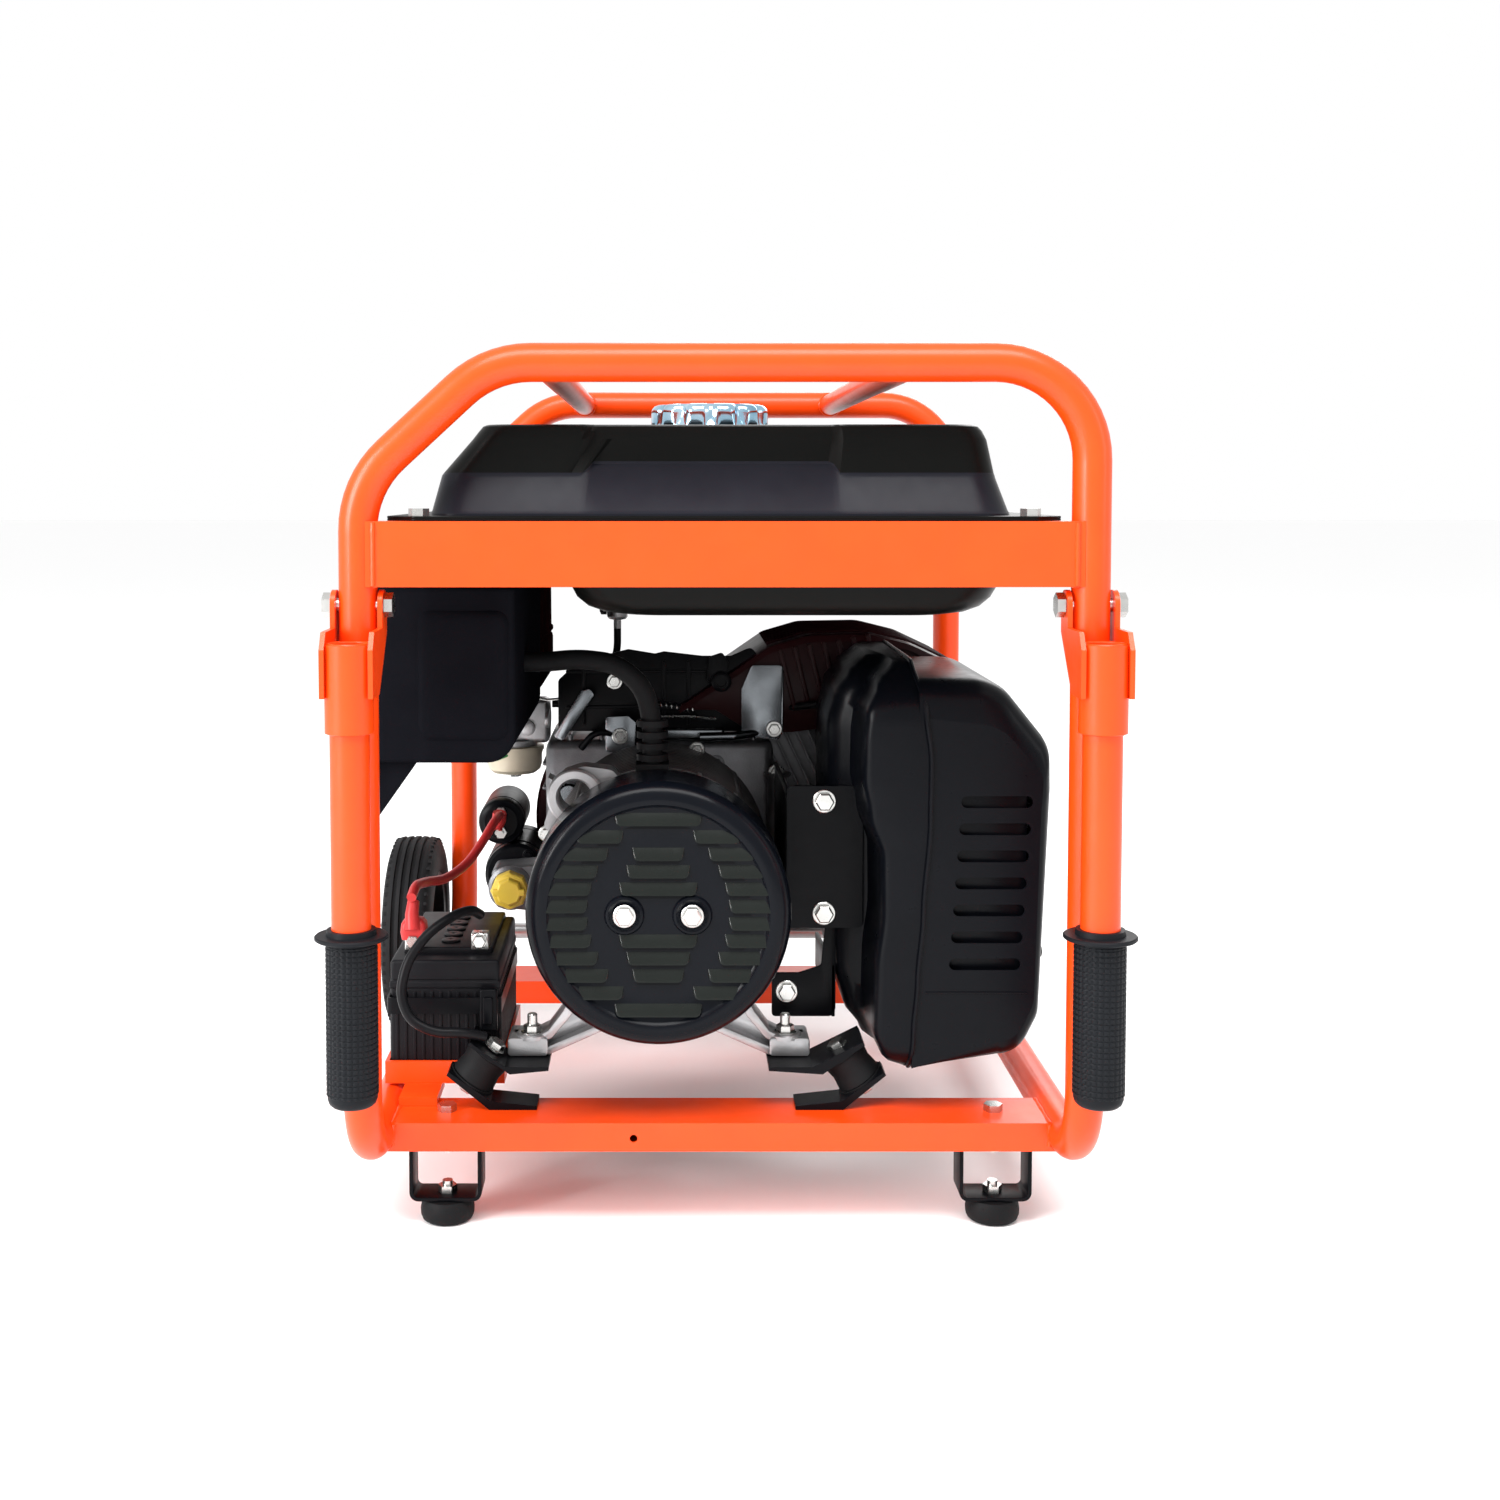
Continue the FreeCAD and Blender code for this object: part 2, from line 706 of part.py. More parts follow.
def fuel_valve():
    """The tap under the tank, with its outlet spigot."""
    body = box((VALVE_X - 10, VALVE_X + 10), (VALVE_Y - 12, VALVE_Y + 12), (448, 469))
    stem = rod("Z", 5, 469, 478, VALVE_X, VALVE_Y)
    spigot = rod("Z", 3, 438, 449, VALVE_X, VALVE_Y)
    subpart("fuel_valve", joined(body, stem, spigot))


def fuel_valve_lever():
    """A lever that turns on the valve's left face."""
    hub = rod("X", 7, VALVE_X - 16, VALVE_X - 10.3, VALVE_Y, 458)
    arm = box((VALVE_X - 15, VALVE_X - 11.5), (VALVE_Y - 30, VALVE_Y), (454, 462))
    subpart("fuel_valve_lever", joined(hub, arm))


# ---------------------------------------------------------------- alternator

BELL_FRONT = 106
STATOR_FRONT = 150
STATOR_BACK = 300
COVER_FRONT = 40
COVER_BOLT_REACH = 25.6


def alternator_cover():
    """A pressed, dished cover over the slip-ring end."""
    radius = float(D.cover_radius)
    wall = 1.5
    depth = BELL_FRONT - COVER_FRONT
    profile = [(0, 0), (0, radius - 14), (4, radius - 4), (14, radius), (depth, radius), (depth, radius - wall),
               (14.5, radius - wall), (5, radius - 5.5), (wall, radius - 15), (wall, 0)]
    shell = turned("cover_shell", "Y", profile, D.shaft_x, behind(COVER_FRONT), D.shaft_height)
    holes = [rod("Y", D.bolt_radius, behind(COVER_FRONT) - 2, behind(COVER_FRONT) + 4,
                 D.shaft_x + side * COVER_BOLT_REACH, D.shaft_height) for side in SIDES.values()]
    subpart("alternator_cover", less(shell, *holes))


def alternator_end_bell():
    """The cast bearing bell with a splayed foot to each side and four screw lugs."""
    front = behind(BELL_FRONT)
    back = behind(STATOR_FRONT)
    x = float(D.shaft_x)
    ring = rod("Y", 96, front, back, D.shaft_x, D.shaft_height)
    pieces = [ring]
    for side in SIDES.values():
        foot = [(side * 55, 182), (side * 84, 152), (side * 92, 146), (side * 112, 146), (side * 119, 138),
                (side * 119, 119), (side * 84, 119), (side * 70, 128), (side * 30, 160)]
        pieces.append(prism("bell_foot", "Y", [(x + across, up) for across, up in foot], front, back))
    lug = rod("Y", 22, front, back, D.shaft_x - 66, D.shaft_height + 78)
    lug_hole = rod("Y", 13.5, front - 5, front + 30, D.shaft_x - 66, D.shaft_height + 78)
    shaft_hole = rod("Y", D.shaft_radius + D.running_gap, front - 5, back + 5, D.shaft_x, D.shaft_height)
    holes = [rod("Y", D.bolt_radius, front - 5, front + 14, D.shaft_x + side * COVER_BOLT_REACH, D.shaft_height)
             for side in SIDES.values()]
    studs = [rod("Z", D.bolt_radius, 110, 160, D.shaft_x + side * FOOT_STUD_X, STUD_Y) for side in SIDES.values()]
    subpart("alternator_end_bell", less(joined(*pieces, lug), lug_hole, shaft_hole, *holes, *studs))


FOOT_STUD_X = 101
STUD_Y = behind(122)


def alternator_stator():
    """The wound core's steel ring, with the adaptor to the crankcase."""
    ring = rod("Y", 95, behind(STATOR_FRONT), behind(STATOR_BACK), D.shaft_x, D.shaft_height)
    room = rod("Y", 62, behind(STATOR_FRONT), behind(STATOR_BACK), D.shaft_x, D.shaft_height)
    subpart("alternator_stator", less(ring, room))


def alternator_rotor():
    rotor = rod("Y", 61.4, behind(158), behind(280), D.shaft_x, D.shaft_height)
    bore = rod("Y", D.shaft_radius, behind(150), behind(300), D.shaft_x, D.shaft_height)
    subpart("alternator_rotor", less(rotor, bore))


# ---------------------------------------------------------------- rubber mounts

MOUNT_TILT = 35
MOUNT_REACH = 146
MOUNT_X = D.shaft_x + 6
MOUNT_HEIGHT = 114
MOUNT_RADIUS = 18
MOUNT_HALF = 13
PLATE = 3


def tilted(side, along, across):
    """A point of a front mount, measured along and across its leaning axis."""
    lean = math.radians(MOUNT_TILT)
    x = float(MOUNT_X) + side * (MOUNT_REACH - math.sin(lean) * along - math.cos(lean) * across)
    z = MOUNT_HEIGHT + math.cos(lean) * along - math.sin(lean) * across
    return x, z


def rubber_mounts():
    """Two leaning mounts under the alternator and two upright ones under the engine."""
    mounts = []
    for side in SIDES.values():
        cushion = DOC.addObject("Part::Cylinder", "Cushion")
        cushion.Radius = MOUNT_RADIUS
        cushion.Height = 2 * MOUNT_HALF
        x, z = tilted(side, -MOUNT_HALF, 0)
        place(cushion, x, STUD_Y - 16, z, FreeCAD.Rotation(Vector(0, 1, 0), -side * MOUNT_TILT))
        mounts.append(cushion)
        mounts.append(rod("Z", MOUNT_RADIUS, D.lower_bar_high, 117, D.shaft_x + side * 70, ENGINE_MOUNT_Y))
    subpart("rubber_mounts", group(*mounts))


ENGINE_MOUNT_Y = behind(ENGINE_BAR_DEPTH) + D.lower_bar_depth / 2


def mount_brackets():
    """Bent plates above and below each leaning mount."""
    plates = []
    for side in SIDES.values():
        half = MOUNT_RADIUS + 2
        stud_x = float(D.shaft_x) + side * FOOT_STUD_X
        upper = [tilted(side, MOUNT_HALF, -half), tilted(side, MOUNT_HALF + PLATE, -half),
                 (stud_x + side * 19, 119), (stud_x - side * 15, 119), (stud_x - side * 15, 116),
                 tilted(side, MOUNT_HALF, half)]
        plates.append(less(
            prism("upper_plate", "Y", upper, STUD_Y - 36, STUD_Y + 8),
            rod("Z", D.bolt_radius, 100, 130, stud_x, STUD_Y),
        ))
        bar_high = float(D.lower_bar_high)
        flat_x = tilted(side, -MOUNT_HALF, half)[0]
        lower = [tilted(side, -MOUNT_HALF, -half), tilted(side, -MOUNT_HALF, half),
                 (flat_x - side * 36, bar_high + PLATE), (flat_x - side * 36, bar_high),
                 (flat_x + side * 1, bar_high), tilted(side, -MOUNT_HALF - PLATE, -half)]
        plates.append(prism("lower_plate", "Y", lower, STUD_Y - 36, behind(FRONT_BAR_DEPTH) + D.lower_bar_depth))
    subpart("mount_brackets", group(*plates))


# ---------------------------------------------------------------- engine

CASE_FRONT = 300
CASE_BACK = 450
CYLINDER_MIDDLE = 375
BORE_RADIUS = 44


def sloped_block(span_u, span_v, y_span):
    """A block set along the leaning cylinder: u runs up the cylinder, v across it."""
    block = DOC.addObject("Part::Box", "SlopedBlock")
    assign(block, "Length", span_u[1] - span_u[0])
    assign(block, "Width", y_span[1] - y_span[0])
    assign(block, "Height", span_v[1] - span_v[0])
    x, z = sloped_point(span_u[0], span_v[0])
    return place(block, x, y_span[0], z, SLOPE)


def sloped_point(u, v):
    lean = math.radians(float(D.cylinder_slope))
    x = float(D.shaft_x) + u * math.cos(lean) - v * math.sin(lean)
    z = float(D.shaft_height) + u * math.sin(lean) + v * math.cos(lean)
    return x, z


SLOPE = FreeCAD.Rotation(Vector(0, 1, 0), -float(D.cylinder_slope))


def sloped_cylinder(radius, low, high, y):
    """A cylinder along the leaning axis of the engine."""
    item = DOC.addObject("Part::Cylinder", "SlopedCylinder")
    item.Radius = radius
    item.Height = high - low
    x, z = sloped_point(low, 0)
    return place(item, x, y, z, FreeCAD.Rotation(Vector(0, 1, 0), 90 - float(D.cylinder_slope)))


def crankcase():
    """The crankcase with its feet, oil filler boss and finned cylinder barrel."""
    front = behind(CASE_FRONT)
    back = behind(CASE_BACK)
    middle = behind(CYLINDER_MIDDLE)
    case = box((-150, 54), (front, back), (127, 345))
    feet = box((-140, 44), (front + 20, behind(500)), (117, 127))
    filler_boss = box((-200, -150), (front + 5, front + 45), (186, 232))
    barrel = sloped_block((40, 172), (-52, 52), (middle - 52, middle + 52))
    fins = [sloped_block((u, u + 3), (-62, 62), (middle - 62, middle + 62)) for u in range(118, 170, 9)]
    room = box((-140, 44), (front + 10, back - 10), (137, 335))
    bore = sloped_cylinder(BORE_RADIUS, 40, 180, middle)
    shaft_hole = rod("Y", 17 + D.running_gap, front - 5, back + 5, D.shaft_x, D.shaft_height)
    filler_hole = rod("Y", 10, front, front + 30, FILLER_X, FILLER_Z)
    subpart("crankcase", less(joined(case, feet, filler_boss, barrel, *fins), room, bore, shaft_hole, filler_hole))


FILLER_X = -182
FILLER_Z = 211


def crankshaft():
    """The shaft through alternator and engine, with webs and one crank pin."""
    pieces = [
        rod("Y", D.shaft_radius, behind(112), behind(290), D.shaft_x, D.shaft_height),
        rod("Y", 17, behind(290), behind(345), D.shaft_x, D.shaft_height),
        rod("Y", 42, behind(345), behind(358), D.shaft_x, D.shaft_height),
        rod("Y", 15, behind(358), behind(392), D.shaft_x - 26, D.shaft_height),
        rod("Y", 42, behind(392), behind(405), D.shaft_x, D.shaft_height),
        rod("Y", 17, behind(405), behind(470), D.shaft_x, D.shaft_height),
        rod("Y", 12, behind(470), behind(545), D.shaft_x, D.shaft_height),
    ]
    subpart("crankshaft", joined(*pieces))


def flywheel():
    """The flywheel with its ring of fan blades."""
    disc = rod("Y", 105, behind(474), behind(496), D.shaft_x, D.shaft_height)
    blades = []
    for step in range(12):
        blade = DOC.addObject("Part::Box", "Blade")
        blade.Length = 34
        blade.Width = 30
        blade.Height = 3
        angle = step * 30
        turn = FreeCAD.Rotation(Vector(0, 1, 0), angle)
        offset = turn.multVec(Vector(66, 0, 0))
        blades.append(place(blade, D.shaft_x + offset.x, behind(496), D.shaft_height + offset.z, turn))
    bore = rod("Y", 12, behind(470), behind(530), D.shaft_x, D.shaft_height)
    subpart("flywheel", less(joined(disc, *blades), bore))


def cylinder_head():
    """The finned head with the rocker cover on its end."""
    middle = behind(CYLINDER_MIDDLE)
    head = sloped_block((172, 215), (-50, 50), (middle - 50, middle + 50))
    fins = [sloped_block((u, u + 3), (-62, 62), (middle - 62, middle + 62)) for u in range(172, 210, 9)]
    cover = sloped_block((215, 244), (-44, 44), (middle - 44, middle + 44))
    subpart("cylinder_head", joined(head, *fins, cover))


def housing_outline(radius, reach, low, high):
    """The shroud's shape: round about the shaft, running up the cylinder."""
    lean = math.radians(float(D.cylinder_slope))
    points = []
    for step in range(13):
        angle = lean + math.pi / 2 + step * math.pi / 12
        x = float(D.shaft_x) + radius * math.cos(angle)
        z = float(D.shaft_height) + radius * math.sin(angle)
        points.append((x, z))
    points.append(sloped_point(reach, low))
    points.append(sloped_point(reach, high))
    return points


def blower_housing():
    """The pressed shroud round the flywheel, open towards the engine."""
    front = behind(452)
    back = behind(560)
    wall = float(D.sheet_wall)
    shell = prism("shroud_shell", "Y", housing_outline(119, 268, -84, 84), front, back)
    inner_outline = housing_outline(119 - wall, 268 - wall, -84 + wall, 84 - wall)
    room = prism("shroud_room", "Y", inner_outline, front - 1, back - wall)
    eye = rod("Y", 70, back - 5, back + 5, D.shaft_x, D.shaft_height)
    subpart("blower_housing", less(shell, room, eye))


def recoil_housing():
    """A slotted cup over the flywheel eye, with the rope outlet towards -X."""
    front = behind(560)
    profile = [(0, 88), (38, 84), (46, 74), (46, 0), (43.5, 0), (43.5, 72), (36, 81.5), (0, 85.5)]
    cup = turned("recoil_cup", "Y", profile, D.shaft_x, front, D.shaft_height)
    rope_hole = rod("X", 2.6, -160, -60, front + 22, ROPE_HEIGHT)
    slots = []
    for step in range(10):
        angle = step * math.pi / 5
        slots.append(rod("Y", 6, front + 35, front + 50,
                         D.shaft_x + 56 * math.cos(angle), D.shaft_height + 56 * math.sin(angle)))
    subpart("recoil_housing", less(cup, rope_hole, *slots))


ROPE_HEIGHT = 301


def recoil_grip():
    """The pull grip with the straight stretch of its rope, which lies inside the housing."""
    y = behind(582)
    rope = rod("X", 2.5, -135, -38, y, ROPE_HEIGHT)
    grip = joined(
        rod("X", 6, -137, -127, y, ROPE_HEIGHT),
        rod("Z", 8, ROPE_HEIGHT - 36, ROPE_HEIGHT + 36, -143, y),
    )
    subpart("recoil_grip", joined(rope, grip))


def oil_filler_cap():
    """A winged screw cap on the filler boss, facing the front."""
    front = behind(CASE_FRONT + 5)
    cap = hexagon("Y", 17, front - 12, front - 0.3, FILLER_X, FILLER_Z)
    wing = box((FILLER_X - 14, FILLER_X + 14), (front - 22, front - 12), (FILLER_Z - 3, FILLER_Z + 3))
    stem = rod("Y", 9.9, front - 1, front + 20, FILLER_X, FILLER_Z)
    subpart("oil_filler_cap", joined(cap, wing, stem))


def air_cleaner():
    """The air cleaner box with its stepped cover."""
    base = box((-262, -156), (behind(345), behind(515)), (385, 430))
    cover = box((-268, -156), (behind(342), behind(518)), (430, 496))
    subpart("air_cleaner", joined(base, cover))


def carburettor():
    """The carburettor body with its float bowl, between air cleaner and crankcase."""
    body = box((-206, -150), (behind(386), behind(414)), (326, 385))
    neck = box((-166, -150), (behind(380), behind(420)), (326, 344))
    bowl = rod("Z", 27, 300, 326, -186, behind(400))
    subpart("carburettor", joined(body, neck, bowl))


def starter_motor():
    body = rod("Y", 30, behind(350), behind(446), -181, 212)
    nose = rod("Y", 20, behind(446), behind(452), -181, 212)
    subpart("starter_motor", joined(body, nose))


def starter_solenoid():
    """The solenoid on the starter, with a cable post on its front."""
    body = rod("Y", 21, behind(345), behind(425), -194, 263)
    post = rod("Y", 3, behind(333), behind(346), -194, 272)
    subpart("starter_solenoid", joined(body, post))


# ---------------------------------------------------------------- exhaust

MUFFLER_FRONT = 72
MUFFLER_BACK = 300
SEAM_X = 162
MUFFLER_STEP = 150
PLATE_BOLT_X = 85
PLATE_BOLT_HEIGHTS = (228, 319)


def muffler_body():
    """The inboard half of the clamshell, narrower at the front, with its exhaust stub."""
    front, back = behind(MUFFLER_FRONT), behind(MUFFLER_BACK)
    step = behind(MUFFLER_STEP)
    outline = [(SEAM_X, 118), (134, 118), (132, 143), (98, 160, 20), (88, 385, 40), (122, 438, 30), (SEAM_X, 432)]
    nose = [(SEAM_X, 118), (136, 118), (129, 150), (122, 335), (114, 352), (114, 405), (134, 432), (SEAM_X, 432)]
    shell = joined(
        prism("muffler_nose", "Y", nose, front, step + 1),
        prism("muffler_inboard", "Y", outline, step, back),
    )
    inner = [(SEAM_X - 4, 126), (141, 126), (138, 150), (104, 170), (95, 380), (124, 428), (SEAM_X - 4, 424)]
    nose_inner = [(SEAM_X - 4, 126), (142, 126), (135, 152), (128, 337), (120, 354), (120, 402), (SEAM_X - 4, 424)]
    room = prism("muffler_room", "Y", inner, step + 6, back - 6)
    nose_room = prism("muffler_nose_room", "Y", nose_inner, front + 6, step + 7)
    stub = rod("Y", 15, behind(MUFFLER_BACK - 8), behind(CYLINDER_MIDDLE - 62), 138, 330)
    subpart("muffler_body", joined(less(shell, room, nose_room), stub))


def muffler_heat_shield():
    """The vented outer half, with seven slots in its front."""
    outline = [(SEAM_X, 118), (226, 118, 16), (254, 150, 30), (260, 352, 40), (212, 424, 40), (SEAM_X, 436)]
    front = behind(MUFFLER_FRONT)
    shell = prism("muffler_outboard", "Y", outline, front, behind(MUFFLER_BACK))
    inner = [(SEAM_X + 4, 124), (224, 124), (247, 155), (252, 348), (209, 416), (SEAM_X + 4, 428)]
    room = prism("shield_room", "Y", inner, front + 5, behind(MUFFLER_BACK - 5))
    slots = [box((180, 236), (front - 1, front + 8), (z, z + 11)) for z in range(198, 332, 21)]
    subpart("muffler_heat_shield", less(shell, room, *slots))


def muffler_bracket():
    """The plate that ties the muffler's inboard side to the crankcase front."""
    plate = box((58, 116), (behind(138), behind(142)), (216, 331))
    arm = box((54, 58), (behind(138), behind(CASE_FRONT + 12)), (222, 325))
    holes = [rod("Y", D.bolt_radius, behind(130), behind(150), PLATE_BOLT_X, z) for z in PLATE_BOLT_HEIGHTS]
    subpart("muffler_bracket", less(joined(plate, arm), *holes))


def engine_bolts():
    """M8 flange bolts: end cover, bell foot studs and muffler bracket."""
    bolts = []
    for side in SIDES.values():
        x = D.shaft_x + side * COVER_BOLT_REACH
        bolts.append(joined(
            hexagon("Y", 7.5, behind(COVER_FRONT) - 6, behind(COVER_FRONT), x, D.shaft_height),
            rod("Y", D.bolt_radius, behind(COVER_FRONT), behind(BELL_FRONT + 12), x, D.shaft_height),
        ))
        stud_x = D.shaft_x + side * FOOT_STUD_X
        bolts.append(joined(
            hexagon("Z", 7.5, 146, 152, stud_x, STUD_Y),
            rod("Z", D.bolt_radius, 112, 158, stud_x, STUD_Y),
        ))
    for z in PLATE_BOLT_HEIGHTS:
        bolts.append(joined(
            hexagon("Y", 7.5, behind(132), behind(138), PLATE_BOLT_X, z),
            rod("Y", D.bolt_radius, behind(138), behind(148), PLATE_BOLT_X, z),
        ))
    subpart("engine_bolts", group(*bolts))


# ---------------------------------------------------------------- battery

BATTERY_X = (-264, -176)
BATTERY_Y = (behind(132), behind(282))
BATTERY_LOW = 96
BATTERY_TOP = 204


def battery_tray():
    """A folded tray that stands on the front bar and hangs on the left rail."""
    low, high = BATTERY_X
    front, back = BATTERY_Y
    tray = box((low - 4, high + 4), (front - 4, back + 4), (BATTERY_LOW - 4, BATTERY_LOW + 14))
    room = box((low - 1, high + 1), (front - 1, back + 1), (BATTERY_LOW, BATTERY_LOW + 30))
    leg = box((-252, -222), (behind(94), front + 10), (D.lower_bar_high, BATTERY_LOW - 4))
    rear_leg = box((-256, -222), (back - 30, back), (BATTERY_LOW - 8, BATTERY_LOW - 4))
    rail = rod("Y", D.tube_radius, back - 40, back + 10, -D.hoop_half, D.rail_height)
    subpart("battery_tray", joined(less(tray, room), leg, less(rear_leg, rail)))


def battery_case():
    """The ribbed case with its stepped lid and two terminal posts."""
    low, high = BATTERY_X
    front, back = BATTERY_Y
    lid = box((low, high), (front, back), (180, BATTERY_TOP))
    waist = box((low + 2, high - 2), (front + 2, back - 2), (176, 180))
    core = box((low + 1.5, high - 1.5), (front + 1.5, back - 1.5), (BATTERY_LOW, 176))
    ribs = [box((x, x + 5), (front, back), (BATTERY_LOW, 176)) for x in range(low + 2, high - 5, 9)]
    posts = [rod("Z", 7, BATTERY_TOP, 217, x, front + 26) for x in POST_X]
    subpart("battery_case", joined(lid, waist, core, *ribs, *posts))


POST_X = (-248, -194)


def battery_strap():
    """A flat band round the battery with a buckle on its front."""
    low, high = BATTERY_X
    front, back = BATTERY_Y
    ring = box((low - 2, high + 2), (front - 2, back + 2), (150, 163))
    room = box((low, high), (front, back), (140, 173))
    buckle = box((-190, -178), (front - 9, front - 2), (138, 170))
    subpart("battery_strap", joined(less(ring, room), buckle))


def battery_cables():
    """Both leads are clipped between two ends, so their whole length is fixed."""
    post_y = BATTERY_Y[0] + 26
    cable("battery_cable_positive", [
        (-194, behind(329), 272), (-197, behind(308), 270), (-204, behind(284), 258), (-215, behind(258), 243),
        (-230, behind(226), 236), (-243, behind(194), 241), (-248, behind(168), 244), (-249, behind(150), 238),
    ], 4)
    cable("battery_cable_negative", [
        (-194, post_y, 222), (-199, post_y - 16, 230), (-212, post_y - 36, 230), (-230, post_y - 52, 220),
        (-245, post_y - 62, 200), (-250, post_y - 68, 176), (-242, post_y - 72, 156), (-222, post_y - 74, 147),
        (-202, post_y - 70, 146), (-184, post_y - 62, 140),
    ], 4)


# ---------------------------------------------------------------- control box

BOX_X = (-272, -156)
BOX_Y = (behind(60), behind(330))
BOX_Z = (362, 496)


def control_box():
    """A folded box, closed outboard by the panel, with a slanted gusset below its front."""
    (low_x, high_x), (low_y, high_y), (low_z, high_z) = BOX_X, BOX_Y, BOX_Z
    shell = box(BOX_X, BOX_Y, BOX_Z)
    room = box((low_x - 1, high_x - 2), (low_y + 2, high_y - 2), (low_z + 2, high_z - 2))
    dish = box((-227, -162), (low_y - 4, low_y), (381, 478))
    gusset = prism("gusset", "Y", [(low_x, low_z), (low_x, 316), (-264, 316), (-227, low_z)], low_y + 4, low_y + 7)
    conduit_hole = rod("X", 9, high_x - 5, high_x + 5, CONDUIT_Y, CONDUIT_Z)
    subpart("control_box", joined(less(shell, room, conduit_hole), dish, gusset))


CONDUIT_Y = behind(150)
CONDUIT_Z = 430


def control_panel():
    """The operator's face plate on the outboard side of the box."""
    low_x = BOX_X[0]
    plate = box((low_x - 3, low_x), (BOX_Y[0] - 6, BOX_Y[1] + 6), (330, 498))
    key_hole = rod("X", 6 + D.running_gap, low_x - 10, low_x + 10, KEY_Y, KEY_Z)
    breaker_slot = box((low_x - 10, low_x + 10), (BREAKER_Y - 5, BREAKER_Y + 5), (BREAKER_Z - 14, BREAKER_Z + 14))
    subpart("control_panel", less(plate, key_hole, breaker_slot))


KEY_Y = behind(100)
KEY_Z = 455
BREAKER_Y = behind(150)
BREAKER_Z = 455


def sockets():
    """Two round outlets with shallow contact recesses."""
    outlets = []
    for depth in (215, 285):
        face_x = BOX_X[0] - 3
        y = behind(depth)
        disc = rod("X", 26, face_x - 7, face_x, y, 430)
        recess = rod("X", 20, face_x - 8, face_x - 4, y, 430)
        outlets.append(less(disc, recess))
    subpart("sockets", group(*outlets))


def key_switch():
    """The ignition key in its barrel."""
    face_x = BOX_X[0] - 3
    barrel = rod("X", 6, face_x - 3, face_x + 14, KEY_Y, KEY_Z)
    collar = rod("X", 10, face_x - 4, face_x - 0.3, KEY_Y, KEY_Z)
    blade = box((face_x - 26, face_x - 3), (KEY_Y - 1.5, KEY_Y + 1.5), (KEY_Z - 9, KEY_Z + 9))
    subpart("key_switch", joined(barrel, collar, blade))


def circuit_breaker():
    """The breaker's toggle, which swings on a pin behind the panel."""
    face_x = BOX_X[0] - 3
    pin = rod("Y", 4, BREAKER_Y - 4, BREAKER_Y + 4, face_x + 8, BREAKER_Z)
    toggle = box((face_x - 10, face_x + 8), (BREAKER_Y - 4, BREAKER_Y + 4), (BREAKER_Z - 3, BREAKER_Z + 3))
    subpart("circuit_breaker", joined(pin, toggle))


# ---------------------------------------------------------------- lines

def fuel_hose():
    cable("fuel_hose", [
        (VALVE_X, VALVE_Y, 438), (VALVE_X, VALVE_Y, 417), (VALVE_X - 8, VALVE_Y + 1, 392),
        (VALVE_X - 26, VALVE_Y + 2, 372), (VALVE_X - 46, VALVE_Y + 3, 366), (-150, VALVE_Y + 3, 366),
    ], 3.5)


def cable_conduit():
    """A sleeve from the end bell to the control box, with a corrugated boot at its foot."""
    base_y = behind(128)
    route = [(-53, base_y, 352), (-53, base_y, 385), (-60, base_y + 3, 412), (-82, base_y + 10, 430),
             (-112, base_y + 18, 433), (-140, base_y + 22, CONDUIT_Z), (-158, base_y + 22, CONDUIT_Z)]
    sleeve = shape_feature("conduit_sleeve", swept(route, soft_radii(route), 8))
    collar = box((-66, -40), (base_y - 13, base_y + 13), (342, 352))
    bell_space = rod("Y", 96, behind(BELL_FRONT), behind(STATOR_FRONT), D.shaft_x, D.shaft_height)
    rings = [rod("Z", 12.5, z, z + 5, -53, base_y) for z in range(354, 384, 9)]
    subpart("cable_conduit", joined(sleeve, less(collar, bell_space), *rings))


# ---------------------------------------------------------------- assembly

def build():
    front_hoop()
    subpart("rear_hoop", hoop("rear_tube", REAR_Y))
    top_cross_tubes()
    upper_crossbars()
    lower_crossbars()
    foot_brackets()
    rubber_feet()
    frame_bolts()
    axle_brackets()
    wheel_axle()
    handle_pivot_bolts()
    for side_name in SIDES:
        wheel(side_name)
        handle(side_name)
    fuel_tank_upper()
    fuel_tank_lower()
    fuel_cap()
    fuel_valve()
    fuel_valve_lever()
    alternator_cover()
    alternator_end_bell()
    alternator_stator()
    alternator_rotor()
    rubber_mounts()
    mount_brackets()
    crankcase()
    crankshaft()
    flywheel()
    cylinder_head()
    blower_housing()
    recoil_housing()
    recoil_grip()
    oil_filler_cap()
    air_cleaner()
    carburettor()
    starter_motor()
    starter_solenoid()
    muffler_body()
    muffler_heat_shield()
    muffler_bracket()
    engine_bolts()
    battery_tray()
    battery_case()
    battery_strap()
    battery_cables()
    control_box()
    control_panel()
    sockets()
    key_switch()
    circuit_breaker()
    fuel_hose()
    cable_conduit()


def check():
    """Stops before anything is written if a feature failed or a shape is broken."""
    for item in DOC.Objects:
        if {"Invalid", "Error"} & set(item.State):
            raise RuntimeError(f"{item.Name} ({item.Label}) failed: {item.State}")
    for item in SUBPARTS:
        if item.Shape.isNull() or not item.Shape.isValid() or not item.Shape.Solids:
            raise RuntimeError(f"{item.Label} has no valid solid")


build()
DOC.recompute()
check()
os.makedirs("parts", exist_ok=True)
for finished in SUBPARTS:
    finished.Shape.exportStep(f"parts/{finished.Label}.step")
print(len(SUBPARTS), "sub-parts written")
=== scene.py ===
import bmesh
import bpy
import json
import math
import random
from mathutils import Matrix, Vector
from mathutils.geometry import tessellate_polygon


